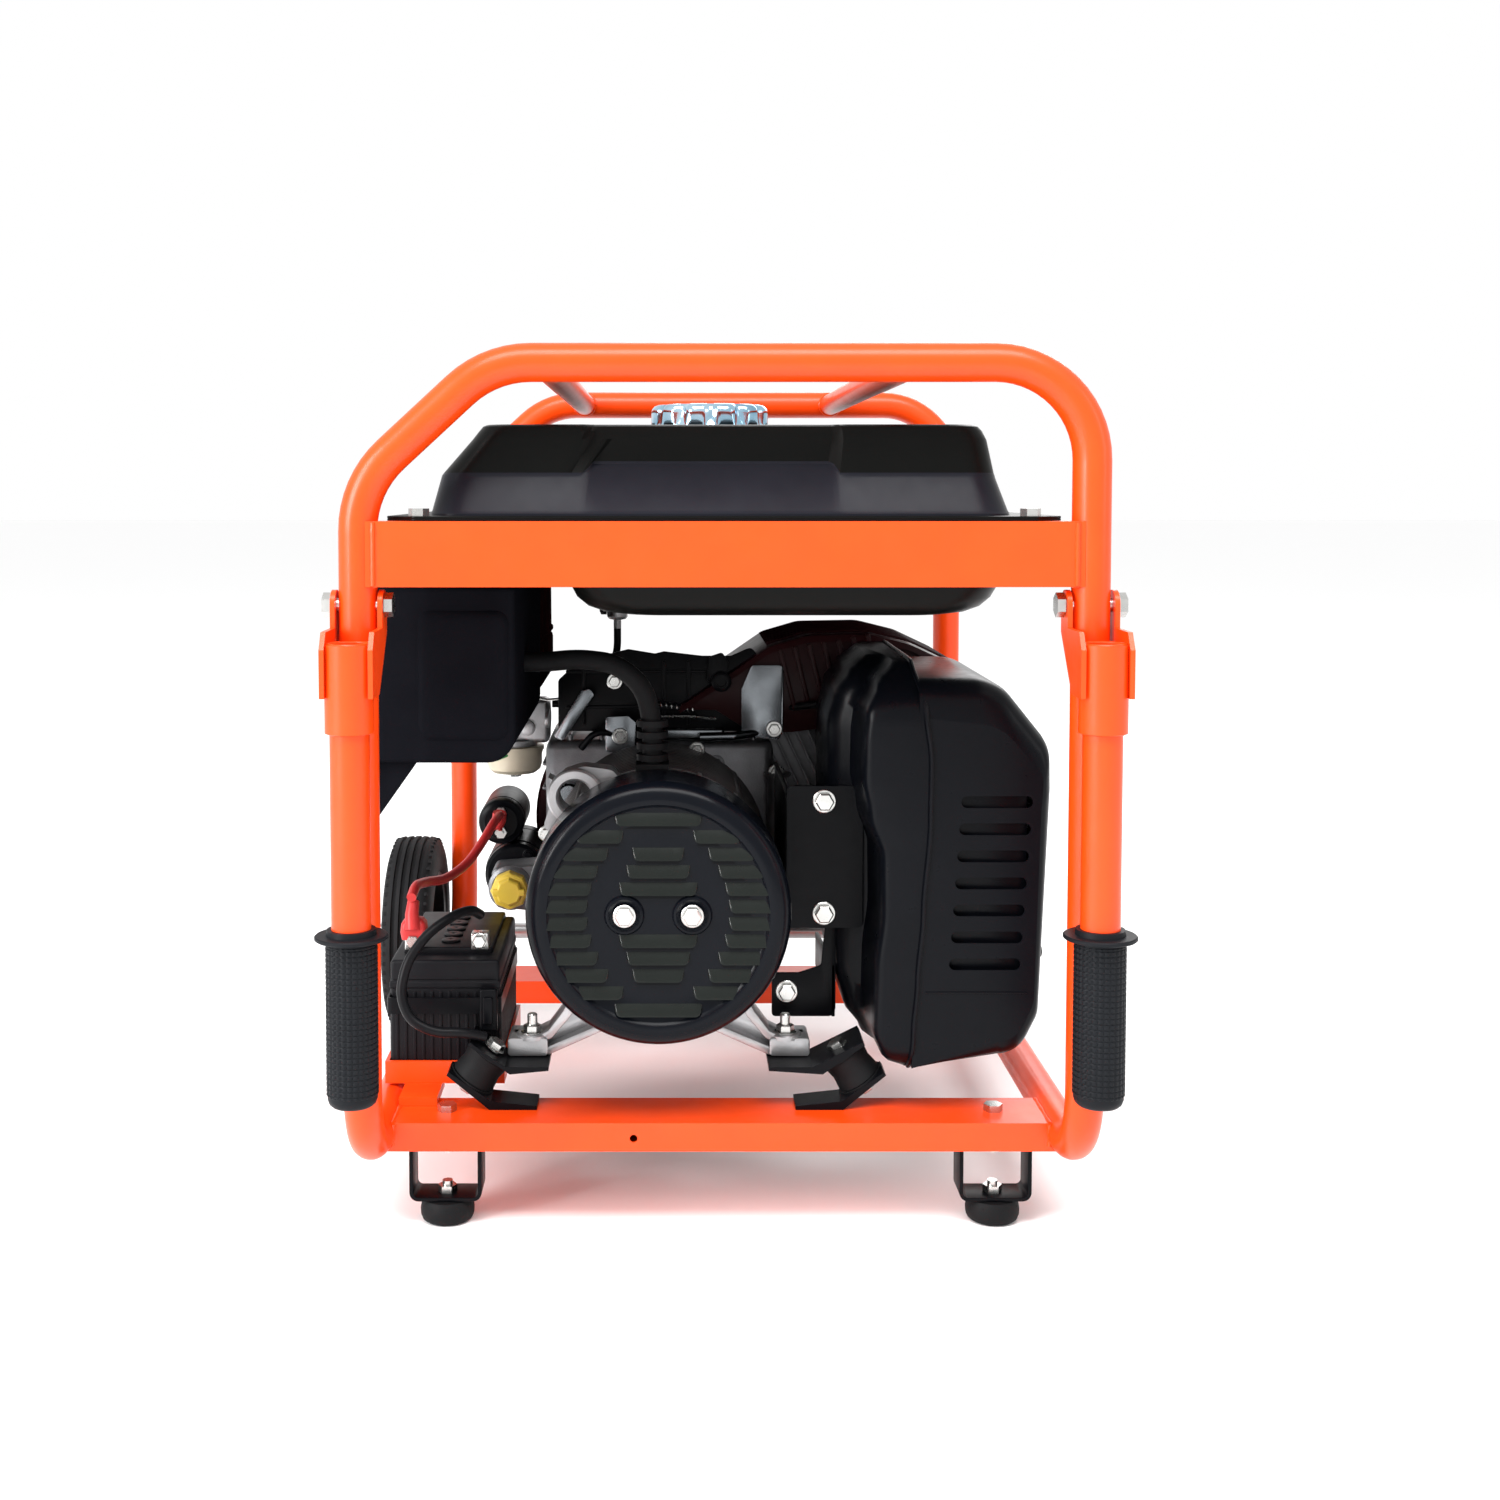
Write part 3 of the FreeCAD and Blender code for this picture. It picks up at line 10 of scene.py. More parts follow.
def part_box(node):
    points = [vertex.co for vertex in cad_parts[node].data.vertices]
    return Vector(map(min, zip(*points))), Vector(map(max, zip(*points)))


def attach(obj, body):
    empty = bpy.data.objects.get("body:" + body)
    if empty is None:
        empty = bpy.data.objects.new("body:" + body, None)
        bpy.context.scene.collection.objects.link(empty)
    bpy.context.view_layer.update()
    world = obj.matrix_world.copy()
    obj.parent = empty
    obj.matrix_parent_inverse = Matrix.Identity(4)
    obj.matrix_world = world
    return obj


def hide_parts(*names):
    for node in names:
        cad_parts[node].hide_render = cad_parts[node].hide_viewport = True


# Open-frame portable generator. Pieces are drawn in millimetres in the CAD frame and scaled to metres.
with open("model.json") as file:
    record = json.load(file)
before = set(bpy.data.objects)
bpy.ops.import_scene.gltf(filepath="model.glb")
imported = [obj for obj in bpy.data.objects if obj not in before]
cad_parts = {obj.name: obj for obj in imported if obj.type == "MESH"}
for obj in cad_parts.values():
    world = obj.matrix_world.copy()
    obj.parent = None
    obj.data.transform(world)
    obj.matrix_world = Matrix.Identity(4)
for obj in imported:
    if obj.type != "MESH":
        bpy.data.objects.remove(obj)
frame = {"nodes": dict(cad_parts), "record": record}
bpy.context.view_layer.update()
scene = bpy.context.scene
dice = random.Random(7)


def span(node):
    """Lowest and highest corner of a CAD node, in millimetres."""
    low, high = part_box(node)
    return low * 1000, high * 1000


FRONT = span("front_hoop")[0].y + 14
REAR = span("rear_hoop")[1].y - 14
LEG_X = 264
SIDES = (("left", -1), ("right", 1))


def behind(depth):
    """A Y position, given as the distance behind the front hoop."""
    return FRONT + depth


# ---------------------------------------------------------------- materials

def surface(name, colour, rough, metal=0.0, coat=0.0, vary=0.12, bump=0.05, grain=900, tint=None, gleam=0.5):
    """A finish whose colour, gloss and skin all vary a little over the surface."""
    material = bpy.data.materials.new(name)
    material.use_nodes = True
    nodes, links = material.node_tree.nodes, material.node_tree.links
    shader = nodes["Principled BSDF"]
    shader.inputs["Metallic"].default_value = metal
    shader.inputs["Specular IOR Level"].default_value = gleam
    shader.inputs["Coat Weight"].default_value = coat
    shader.inputs["Coat Roughness"].default_value = 0.12
    place = nodes.new("ShaderNodeTexCoord")

    def noise(scale, detail):
        node = nodes.new("ShaderNodeTexNoise")
        node.inputs["Scale"].default_value = scale
        node.inputs["Detail"].default_value = detail
        links.new(place.outputs["Object"], node.inputs["Vector"])
        return node.outputs["Fac"]

    ramp = nodes.new("ShaderNodeValToRGB")
    darker = [channel * (1 - vary) for channel in colour]
    ramp.color_ramp.elements[0].position = 0.35
    ramp.color_ramp.elements[0].color = (*(tint or darker), 1)
    ramp.color_ramp.elements[1].position = 0.65
    ramp.color_ramp.elements[1].color = (*colour, 1)
    links.new(noise(28, 4), ramp.inputs["Fac"])
    links.new(ramp.outputs["Color"], shader.inputs["Base Color"])
    gloss = nodes.new("ShaderNodeMapRange")
    gloss.inputs["To Min"].default_value = max(rough - 0.07, 0.02)
    gloss.inputs["To Max"].default_value = min(rough + 0.07, 1)
    links.new(noise(75, 3), gloss.inputs["Value"])
    links.new(gloss.outputs["Result"], shader.inputs["Roughness"])
    relief = nodes.new("ShaderNodeBump")
    relief.inputs["Strength"].default_value = bump
    relief.inputs["Distance"].default_value = 0.0005
    links.new(noise(grain, 2), relief.inputs["Height"])
    links.new(relief.outputs["Normal"], shader.inputs["Normal"])
    return material


ORANGE = (0.82, 0.056, 0.0025)
FINISHES = {
    "frame_paint": dict(colour=ORANGE, rough=0.34, coat=0.08, vary=0.06, bump=0.04, grain=260, gleam=0.3),
    "black_paint": dict(colour=(0.0028, 0.003, 0.004), rough=0.34, gleam=0.08, bump=0.08),
    "tank_paint": dict(colour=(0.0028, 0.0030, 0.0027), rough=0.36, gleam=0.08, bump=0.05),
    # The skirt's lighter, bluer tone is painted sheen: the tank's own black, lightened for the light it
    # catches from above.
    "skirt_painted_sheen": dict(colour=(0.0085, 0.009, 0.0135), rough=0.32, gleam=0.10, bump=0.05),
    "cover_paint": dict(colour=(0.0025, 0.0032, 0.0052), rough=0.22, gleam=0.10, bump=0.04),
    "louvre_paint": dict(colour=(0.006, 0.0078, 0.0066), rough=0.22, gleam=0.22, bump=0.04),
    "exhaust_paint": dict(colour=(0.0022, 0.0026, 0.0040), rough=0.30, gleam=0.09, bump=0.10, grain=600),
    "shroud_paint": dict(colour=(0.022, 0.004, 0.005), rough=0.36, gleam=0.12, bump=0.05),
    "engine_paint": dict(colour=(0.014, 0.014, 0.016), rough=0.45, metal=0.3, bump=0.2, gleam=0.2),
    "box_plastic": dict(colour=(0.0062, 0.0066, 0.0088), rough=0.50, bump=0.2, grain=1500, gleam=0.0),
    # The crankcase's cast aluminium, darkened as painted shade for the shadow it lies in behind the end
    # cover.
    "shaded_case_aluminium": dict(colour=(0.21, 0.21, 0.22), rough=0.44, metal=0.8, vary=0.35, bump=0.35, grain=700),
    "bracket_steel": dict(colour=(0.27, 0.29, 0.31), rough=0.24, metal=1, vary=0.35, bump=0.1),
    "zinc": dict(colour=(0.62, 0.62, 0.60), rough=0.28, metal=1, vary=0.25, bump=0.05),
    "axle_steel": dict(colour=(0.50, 0.50, 0.50), rough=0.32, metal=1, vary=0.25),
    "core_steel": dict(colour=(0.16, 0.15, 0.15), rough=0.45, metal=0.9, vary=0.3),
    "crank_iron": dict(colour=(0.22, 0.22, 0.23), rough=0.45, metal=0.9, vary=0.3),
    "cast_aluminium": dict(colour=(0.52, 0.52, 0.53), rough=0.42, metal=0.85, vary=0.3, bump=0.35, grain=700),
    # The blue tint and its darker blue patches are a painted reflection of the sky in the chrome.
    "cap_chrome": dict(colour=(0.50, 0.68, 0.80), rough=0.12, metal=1, tint=(0.16, 0.34, 0.48), bump=0.02),
    "rubber_black": dict(colour=(0.0065, 0.0068, 0.0075), rough=0.60, bump=0.2, gleam=0.12),
    "grip_rubber": dict(colour=(0.0065, 0.0075, 0.0095), rough=0.50, bump=0.15, gleam=0.12),
    "tyre_rubber": dict(colour=(0.011, 0.011, 0.012), rough=0.70, vary=0.3, bump=0.25, gleam=0.15),
    "cable_black": dict(colour=(0.005, 0.005, 0.006), rough=0.38, bump=0.05, gleam=0.12),
    "cable_red": dict(colour=(0.50, 0.028, 0.028), rough=0.40, bump=0.05, gleam=0.3),
    "battery_plastic": dict(colour=(0.005, 0.005, 0.0065), rough=0.42, bump=0.15, gleam=0.12),
    "panel_plastic": dict(colour=(0.0048, 0.005, 0.0072), rough=0.46, bump=0.2, grain=1500, gleam=0.09),
    "intake_plastic": dict(colour=(0.004, 0.0035, 0.0035), rough=0.58, bump=0.2, gleam=0.0,
                           tint=(0.016, 0.004, 0.004)),
    "cap_plastic": dict(colour=(0.72, 0.50, 0.05), rough=0.40, bump=0.05),
    "socket_plastic": dict(colour=(0.035, 0.035, 0.04), rough=0.38, bump=0.05),
    "key_steel": dict(colour=(0.60, 0.60, 0.60), rough=0.22, metal=1, vary=0.2),
    "bowl_paint": dict(colour=(0.62, 0.55, 0.42), rough=0.40, metal=0.3),
    "wire_green": dict(colour=(0.05, 0.30, 0.07), rough=0.40),
    "lens_amber": dict(colour=(0.70, 0.25, 0.02), rough=0.20, coat=0.5),
    "dial_white": dict(colour=(0.75, 0.75, 0.72), rough=0.35, coat=0.5, vary=0.04),
}
MATERIALS = {name: surface(name, **finish) for name, finish in FINISHES.items()}


# ---------------------------------------------------------------- drawing

def shift(x, y, z):
    """A place moved by this much."""
    return Matrix.Translation((x, y, z))


def turned(degrees, axis="Z"):
    """A place turned about one of its axes."""
    return Matrix.Rotation(math.radians(degrees), 4, axis)


def level(outline, z):
    """An outline in 2D as a row that lies flat at a height."""
    return [(x, y, z) for x, y in outline]


def standing(outline, y):
    """An outline in 2D as a row that stands upright at a depth."""
    return [(x, y, z) for x, z in outline]


def polar(radius, degrees):
    """The two coordinates of a point at an angle round a centre."""
    turn = math.radians(degrees)
    return radius * math.cos(turn), radius * math.sin(turn)


def facing(axis, x=0, y=0, z=0):
    """A place whose local Z points along the given axis, with local X and Y as seen from outside."""
    across, up = {
        "-Y": ((1, 0, 0), (0, 0, 1)),
        "+Y": ((-1, 0, 0), (0, 0, 1)),
        "+X": ((0, 1, 0), (0, 0, 1)),
        "-X": ((0, -1, 0), (0, 0, 1)),
        "+Z": ((1, 0, 0), (0, 1, 0)),
        "-Z": ((1, 0, 0), (0, -1, 0)),
    }[axis]
    across, up = Vector(across), Vector(up)
    turn = Matrix((across, up, across.cross(up))).transposed().to_4x4()
    return shift(x, y, z) @ turn


def ring(radius, height=0, steps=48, centre=(0, 0)):
    """Points in 3D round a circle that lies flat at a height."""
    turns = [math.tau * step / steps for step in range(steps)]
    return [(centre[0] + radius * math.cos(a), centre[1] + radius * math.sin(a), height) for a in turns]


def circle(radius, x, y, steps=40):
    """A round outline in 2D."""
    return [(px, py) for px, py, _ in ring(radius, 0, steps, (x, y))]


def rounded(points, radii, steps=6):
    """A polyline in 2D or 3D whose inner corners are swapped for arcs of the given radii."""
    points = [Vector(point) for point in points]
    line = [points[0]]
    for before, corner, after, radius in zip(points, points[1:], points[2:], radii):
        back, ahead = (before - corner).normalized(), (after - corner).normalized()
        half = back.angle(ahead) / 2
        if half > math.pi / 2 - 0.02:
            line.append(corner)
            continue
        reach = radius / math.tan(half)
        start, end = corner + back * reach, corner + ahead * reach
        middle = corner + (back + ahead).normalized() * radius / math.sin(half)
        first, last = start - middle, end - middle
        turn = first.angle(last)
        for step in range(steps + 1):
            part = step / steps
            arm = first * math.sin((1 - part) * turn) + last * math.sin(part * turn)
            line.append(middle + arm / math.sin(turn))
    line.append(points[-1])
    return line


def soft_loop(points, radius, steps=5):
    """A closed 2D outline with every corner rounded. A radius may be given for each corner."""
    count = len(points)
    radii = radius if isinstance(radius, (list, tuple)) else [radius] * count
    loop = []
    for index in range(count):
        trio = [points[index - 1], points[index], points[(index + 1) % count]]
        if radii[index] > 0:
            loop += rounded(trio, [radii[index]], steps)[1:-1]
        else:
            loop.append(Vector(trio[1]))
    return [(point.x, point.y) for point in loop]


def oblong(left, right, low, high, radius, steps=5):
    """A rectangular outline in 2D with round corners."""
    return soft_loop([(left, low), (right, low), (right, high), (left, high)], radius, steps)


class Shape:
    """Collects the geometry of one piece, in millimetres. Rows and outlines are lists of points."""

    def __init__(self):
        self.mesh = bmesh.new()

    def skin(self, rows, at=Matrix(), closed=True, caps=True):
        """Joins rows of equally many points into one sheet."""
        made = [[self.mesh.verts.new(at @ Vector(point)) for point in row] for row in rows]
        count = len(made[0])
        for low, high in zip(made, made[1:]):
            for index in range(count if closed else count - 1):
                after = (index + 1) % count
                self.mesh.faces.new((low[index], low[after], high[after], high[index]))
        if closed and caps:
            self.mesh.faces.new(made[0][::-1])
            self.mesh.faces.new(made[-1])
        return self

    def lathe(self, profile, at=Matrix(), steps=64, loop=False):
        """Turns (radius, height) points about local Z. A loop is a ring-shaped solid."""
        rows = [ring(max(radius, 0.05), height, steps) for radius, height in profile]
        return self.skin(rows + rows[:1] if loop else rows, at, caps=not loop)

    def sweep(self, line, radius, steps=14):
        """A round bar or hose along a line of points."""
        line = [Vector(point) for point in line]
        ahead = (line[1] - line[0]).normalized()
        side = ahead.orthogonal().normalized()
        rows = []
        for index, point in enumerate(line):
            fore = line[min(index + 1, len(line) - 1)] - line[max(index - 1, 0)]
            fore.normalize()
            side = (side - fore * side.dot(fore)).normalized()
            lift = fore.cross(side)
            width = radius[index] if isinstance(radius, list) else radius
            rows.append([point + (side * x + lift * y) * width for x, y, _ in ring(1, 0, steps)])
        return self.skin(rows)

    def slab(self, outline, low, high, at=Matrix(), soft=0.8, steps=2):
        """A plate of the given outline between two heights, with softened rims."""
        extra = bmesh.new()
        face = extra.faces.new([extra.verts.new((x, y, low)) for x, y in outline])
        top = bmesh.ops.extrude_face_region(extra, geom=[face])["geom"]
        moved = [item for item in top if isinstance(item, bmesh.types.BMVert)]
        bmesh.ops.translate(extra, verts=moved, vec=(0, 0, high - low))
        bmesh.ops.recalc_face_normals(extra, faces=extra.faces)
        if soft:
            rims = [edge for edge in extra.edges if abs(edge.verts[0].co.z - edge.verts[1].co.z) < 1e-6]
            bmesh.ops.bevel(extra, geom=rims, offset=soft, segments=steps, profile=0.5, affect="EDGES")
        return self.take(extra, at)

    def block(self, low, high, soft=1.5, at=Matrix()):
        """A box with rounded edges and corners."""
        extra = bmesh.new()
        bmesh.ops.create_cube(extra, size=1)
        low, high = Vector(low), Vector(high)
        for vert in extra.verts:
            vert.co = [low[i] + (high[i] - low[i]) * (vert.co[i] + 0.5) for i in range(3)]
        bmesh.ops.bevel(extra, geom=list(extra.edges), offset=soft, segments=3, profile=0.5, affect="EDGES")
        return self.take(extra, at)

    def pierced(self, outline, holes, low, high, at=Matrix()):
        """A plate with holes through it."""
        loops = [outline, *holes]
        flat = [Vector((x, y, 0)) for loop in loops for x, y in loop]
        triangles = tessellate_polygon([[Vector((x, y, 0)) for x, y in loop] for loop in loops])
        sheets = []
        for height in (low, high):
            sheets.append([self.mesh.verts.new(at @ Vector((p.x, p.y, height))) for p in flat])
        for triangle in triangles:
            for sheet in sheets:
                self.mesh.faces.new([sheet[index] for index in triangle])
        start = 0
        for loop in loops:
            count = len(loop)
            for index in range(count):
                here, after = start + index, start + (index + 1) % count
                self.mesh.faces.new((sheets[0][here], sheets[0][after], sheets[1][after], sheets[1][here]))
            start += count
        return self

    def bolt(self, at, size=6.5, head=5, washer=9.0):
        """A washer and a hexagon head with a chamfered crown, standing on local z = 0."""
        self.lathe([(washer, 0), (washer, 1.2), (washer - 0.6, 1.6), (0, 1.6)], at, 32)
        corner = size * 1.12
        rows = [ring(corner, 1.6, 6), ring(corner, head + 1.0, 6), ring(size * 0.95, head + 1.8, 6)]
        return self.skin(rows, at)

    def take(self, extra, at=Matrix()):
        """Adds another bmesh to this one."""
        extra.transform(at)
        spare = bpy.data.meshes.new("spare")
        extra.to_mesh(spare)
        extra.free()
        self.mesh.from_mesh(spare)
        bpy.data.meshes.remove(spare)
        return self

    def done(self, name, slot, body, *nodes, angle=32, finish=None):
        """Makes the object, in metres, gives it its body and the material of its finish or slot, and hides
        the CAD nodes that it stands for.
        """
        bmesh.ops.recalc_face_normals(self.mesh, faces=self.mesh.faces)
        self.mesh.transform(Matrix.Scale(0.001, 4))
        data = bpy.data.meshes.new(name)
        self.mesh.to_mesh(data)
        self.mesh.free()
        for polygon in data.polygons:
            polygon.use_smooth = True
        data.set_sharp_from_angle(angle=math.radians(angle))
        data.materials.append(MATERIALS[finish or slot])
        piece = bpy.data.objects.new(name, data)
        scene.collection.objects.link(piece)
        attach(piece, body)
        if nodes:
            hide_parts(*nodes)
        return piece


def upright(shape, outline, near, far, soft=1.0, steps=2):
    """A plate that stands across the machine: its outline in X and Z, its depths behind the front hoop."""
    return shape.slab(outline, -behind(far), -behind(near), facing("-Y"), soft, steps)


def tilted(degrees, x, y, z):
    """A place whose local Z leans from vertical towards +X."""
    return shift(x, y, z) @ turned(degrees, "Y")


def blend_at(stations, value):
    """Smooth value of a curve through (position, value) stations."""
    for (a, low), (b, high) in zip(stations, stations[1:]):
        if value <= b:
            part = min(max((value - a) / (b - a), 0), 1)
            part = part * part * (3 - 2 * part)
            return low + (high - low) * part
    return stations[-1][1]


# ---------------------------------------------------------------- frame

def weld(shape, loop, radius=1.9):
    """A slightly uneven fillet of weld along a line of points."""
    line = []
    for start, end in zip(loop, loop[1:]):
        start, end = Vector(start), Vector(end)
        count = max(int((end - start).length / 3), 1)
        line += [start.lerp(end, step / count) for step in range(count)]
    line.append(Vector(loop[-1]))
    shape.sweep(line, [radius * (0.85 + 0.3 * dice.random()) for _ in line], 8)


def frame_welds():
    """Beads where the crossbars, the lower bars and the top tubes meet the hoops."""
    beads = Shape()
    for y, near in ((FRONT, -1), (REAR, 1)):
        low, high = 500.5, 545.5
        for _, side in SIDES:
            x = side * (LEG_X - 12.6)
            face = y + near * 12.4
            weld(beads, [(x, face, low), (x, face, high)])
            weld(beads, [(x, y - near * 12.4, low), (x, y - near * 12.4, high)])
            weld(beads, [(side * (LEG_X - 13.6), y - 11, low), (side * (LEG_X - 13.6), y + 11, low)])
    bar_bottom, bar_top = 67, 84
    for near, far in ((57, 114), (450, 507)):
        for _, side in SIDES:
            x = side * (LEG_X - 12.6)
            weld(beads, [(x, behind(near + 1), bar_top), (x, behind(far - 1), bar_top)])
            weld(beads, [(x, behind(near + 0.5), bar_bottom), (x, behind(near + 0.5), bar_top)])
    tube_height, tube_radius, hoop_radius = 660, 11.4, 15
    for x in (-130, 135):
        for y, side in ((FRONT, 1), (REAR, -1)):
            bead = []
            for step in range(21):
                across = tube_radius * math.cos(math.tau * step / 20)
                up = tube_radius * math.sin(math.tau * step / 20)
                bead.append((x + across, y + side * math.sqrt(hoop_radius ** 2 - up ** 2), tube_height + up))
            weld(beads, bead, 1.7)
    beads.done("frame_welds", "frame_paint", "frame")


def feet():
    """The rubber pads at the front and the straps that hold them."""
    low, high = span("rubber_feet")
    y = (low.y + high.y) / 2
    rubber, steel = Shape(), Shape()
    for _, side in SIDES:
        x = side * 213
        rubber.lathe([(17.5, 0), (19.5, 1.5), (20.8, 5), (21, 9), (20.2, 14), (18.5, 17), (11, 18), (0, 18)],
                     facing("+Z", x, y, 0), 48)
        for angle in range(0, 360, 30):
            dx, dy = polar(19.2, angle)
            rubber.block((x + dx - 1.2, y + dy - 1.2, 3), (x + dx + 1.2, y + dy + 1.2, 14), 0.5)
        section = rounded([(x - 28, 63), (x - 28, 18.2), (x + 28, 18.2), (x + 28, 63)], [7, 7], 6)
        inner = rounded([(x + 25, 63), (x + 25, 21.2), (x - 25, 21.2), (x - 25, 63)], [4, 4], 6)
        outline = [(point.x, point.y) for point in section + inner]
        steel.slab(outline, -15, 15, facing("-Y", 0, y, 0), 0.6)
    rubber.done("rubber_foot_pads", "rubber_black", "frame", "rubber_feet")
    steel.done("foot_straps", "black_paint", "frame", "foot_brackets")


def handles():
    """The chequered rubber grips, and the beads round the sleeves. The tubes are the CAD's own."""
    for name, side in SIDES:
        x = side * LEG_X
        y = span(f"handle_{name}_tube")[0].y + 14
        grip = Shape()
        around, rows = 108, []
        heights = [134.0, 134.4, 136, 139] + [140 + 0.5 * step for step in range(0, 224)] + [252.4, 252.8]
        for height in heights:
            row = []
            for step in range(around):
                pad = step % 4 in (1, 2, 3) and (height - 140) % 4 > 0.9 and 142 < height < 250
                radius = 17.6 + (0.75 if pad else 0)
                if height < 139:
                    radius = 17.6 - 3.4 * (1 - (height - 134) / 5) ** 2.2
                turn = math.tau * step / around
                row.append((radius * math.cos(turn), radius * math.sin(turn), height))
            rows.append(row)
        for radius, height in ((25, 252.8), (25.9, 253.6), (25.9, 255.2), (25, 256), (17.8, 256.2),
                               (17.2, 260), (14.05, 260)):
            rows.append(ring(radius, height, around))
        grip.skin(rows, shift(x, y, 0))
        grip.done(f"{name}_grip_sleeve", "grip_rubber", f"handle_{name}", f"handle_{name}_grip", angle=40)
        beads = Shape()
        for height in (399.4, 460.8):
            loop = [(x + 14.8 * math.cos(a / 12 * math.pi), y + 14.8 * math.sin(a / 12 * math.pi),
                     height) for a in range(25)]
            weld(beads, loop, 1.3)
        beads.done(f"{name}_sleeve_welds", "frame_paint", f"handle_{name}")


# ---------------------------------------------------------------- fuel tank

def tank_flange(front, back):
    """The rim that both stampings share: a rectangle with its corners cut off."""
    half, cut = 245.0, 22
    outline = [(-half + cut, front), (half - cut, front), (half, front + cut), (half, back - cut),
               (half - cut, back), (-half + cut, back), (-half, back - cut), (-half, front + cut)]
    return soft_loop(outline, 6)


def tank_upper():
    """The upper stamping with its stepped front, its skirt painted lighter and bluer as a painted sheen from
    the light above, and the fuel gauge.
    """
    low, high = span("fuel_tank_upper")
    left, right = -217.0, 213.0
    front, back = low.y + 26, high.y - 13.5
    shape = Shape()

    def block_share(x):
        """1 on the two front blocks, 0 on the centre band, with a short slope between."""
        edge = min(abs(x + 102), abs(x - 86))
        inside = -102 < x < 86
        return max(0.0, 1 - edge / 5) if inside else 1.0

    def row(height, x0, x1, y0, y1, radius, share=0.0, drop=0.0, corner=8, straight=90):
        """One level of the stamping. Share sets the centre band back, drop lifts its lower edge."""
        points = []
        corners = [(x0, y0, math.pi), (x1, y0, 1.5 * math.pi), (x1, y1, 0), (x0, y1, 0.5 * math.pi)]
        for index, (cx, cy, start) in enumerate(corners):
            ox = cx + (radius if index in (0, 3) else -radius)
            oy = cy + (radius if index in (0, 1) else -radius)
            for step in range(corner + 1):
                turn = start + 0.5 * math.pi * step / corner
                points.append([ox + radius * math.cos(turn), oy + radius * math.sin(turn), height])
            after = corners[(index + 1) % 4]
            ex = after[0] + (radius if index in (2, 3) else -radius)
            ey = after[1] + (radius if index in (3, 0) else -radius)
            begin = points[-1]
            goal = (ex if index in (0, 2) else begin[0], begin[1] if index in (0, 2) else ey)
            for step in range(1, straight):
                part = step / straight
                points.append([begin[0] + (goal[0] - begin[0]) * part, begin[1] + (goal[1] - begin[1]) * part,
                               height])
        for point in points:
            if point[1] < y0 + 1.0 and -140 < point[0] < 130:
                hollow = 1 - block_share(point[0])
                point[1] += share * hollow
                point[2] += drop * hollow
        return points

    rows = [
        row(548.3, left, right, front, back, 26),
        row(551.5, left + 0.4, right - 0.6, front + 0.3, back - 0.3, 26),
        row(554, left + 1.2, right - 1.6, front + 2.5, back - 2, 26, 0.8),
        row(577.5, left + 6.4, right - 8.6, front + 15.5, back - 8, 25, 6.5, 8.5),
        row(579.6, left + 7, right - 9.2, front + 16.4, back - 9, 24, 7.8, 8.5),
        row(581.5, left + 8.4, right - 9.8, front + 16.8, back - 9.5, 24, 8.0, 8.5),
        row(606, left + 30, right - 15.6, front + 17.4, back - 13, 22, 8.4, 0.6),
        row(612.5, left + 35.2, right - 19, front + 17.8, back - 14, 21, 8.4),
        row(615.8, left + 38, right - 22, front + 19, back - 16, 20, 8.4),
        row(617.1, left + 41, right - 25.5, front + 21.5, back - 19, 19, 9),
        row(617.6, left + 52, right - 38, front + 34, back - 32, 16, 6),
    ]
    skirt = Shape()
    skirt.skin(rows[:6], caps=False)
    # The skirt takes the lighter finish: a painted sheen from the overhead light.
    skirt.done("tank_skirt", "tank_paint", "frame", angle=24, finish="skirt_painted_sheen")
    shape.skin(rows[5:])
    cap_x, cap_y = (span("fuel_cap")[0] + span("fuel_cap")[1]).xy / 2
    shape.lathe([(62, 617.3), (61, 618.2), (55, 618.2), (52, 617.4), (0, 617.4)], shift(cap_x, cap_y, 0))
    for x in (-120, 130):
        outline = oblong(x - 34, x + 34, -60, 190, 12)
        shape.slab(outline, 617.2, 619.2, shift(0, 60, 0), 0.9)
    shape.slab(tank_flange(low.y, high.y), 548.1, 550.0, soft=0.5)
    shape.done("tank_top_stamping", "tank_paint", "frame", "fuel_tank_upper", angle=24)

    gauge = Shape()
    gauge.lathe([(22, 617.6), (22, 620.5), (20.5, 621.6), (18.5, 621.6), (18, 620.4), (0, 620.4)],
                shift(cap_x + 3, cap_y + 250, 0))
    gauge.done("fuel_gauge_rim", "socket_plastic", "frame")
    dial = Shape()
    dial.lathe([(17.6, 620.2), (17.6, 620.9), (12, 621.2), (0, 621.4)], shift(cap_x + 3, cap_y + 250, 0))
    dial.done("fuel_gauge_dial", "socket_plastic", "frame", finish="dial_white")


def tank_lower():
    """The lower stamping, a shallow pan with three pressed ribs."""
    low, high = span("fuel_tank_lower")
    shape = Shape()
    levels = [
        (547.5, -134, 222, 14, 24), (530, -130, 219, 15, 24), (512, -120, 212, 16, 28),
              (499, -114, 206, 18, 32),
        (489, -109, 201, 20, 35), (482, -101, 194, 24, 36), (477.6, -90, 184, 31, 36),
              (475.6, -78, 172, 40, 34),
        (475.05, -66, 160, 50, 30),
    ]
    rows = []
    for height, x0, x1, inset, radius in levels:
        loop = oblong(x0, x1, behind(inset), behind(662 - inset), radius, 8)
        rows.append(level(loop, height))
    shape.skin(rows)
    for y in (behind(180), behind(331), behind(482)):
        shape.sweep([(-112, y, 500), (-104, y, 486), (-84, y, 477.5), (176, y, 477.5), (196, y, 486),
                     (204, y, 500)], 2.4, 10)
    shape.slab(tank_flange(low.y, high.y), 546.5, 548.1, soft=0.5)
    shape.done("tank_bottom_stamping", "tank_paint", "frame", "fuel_tank_lower", angle=30)


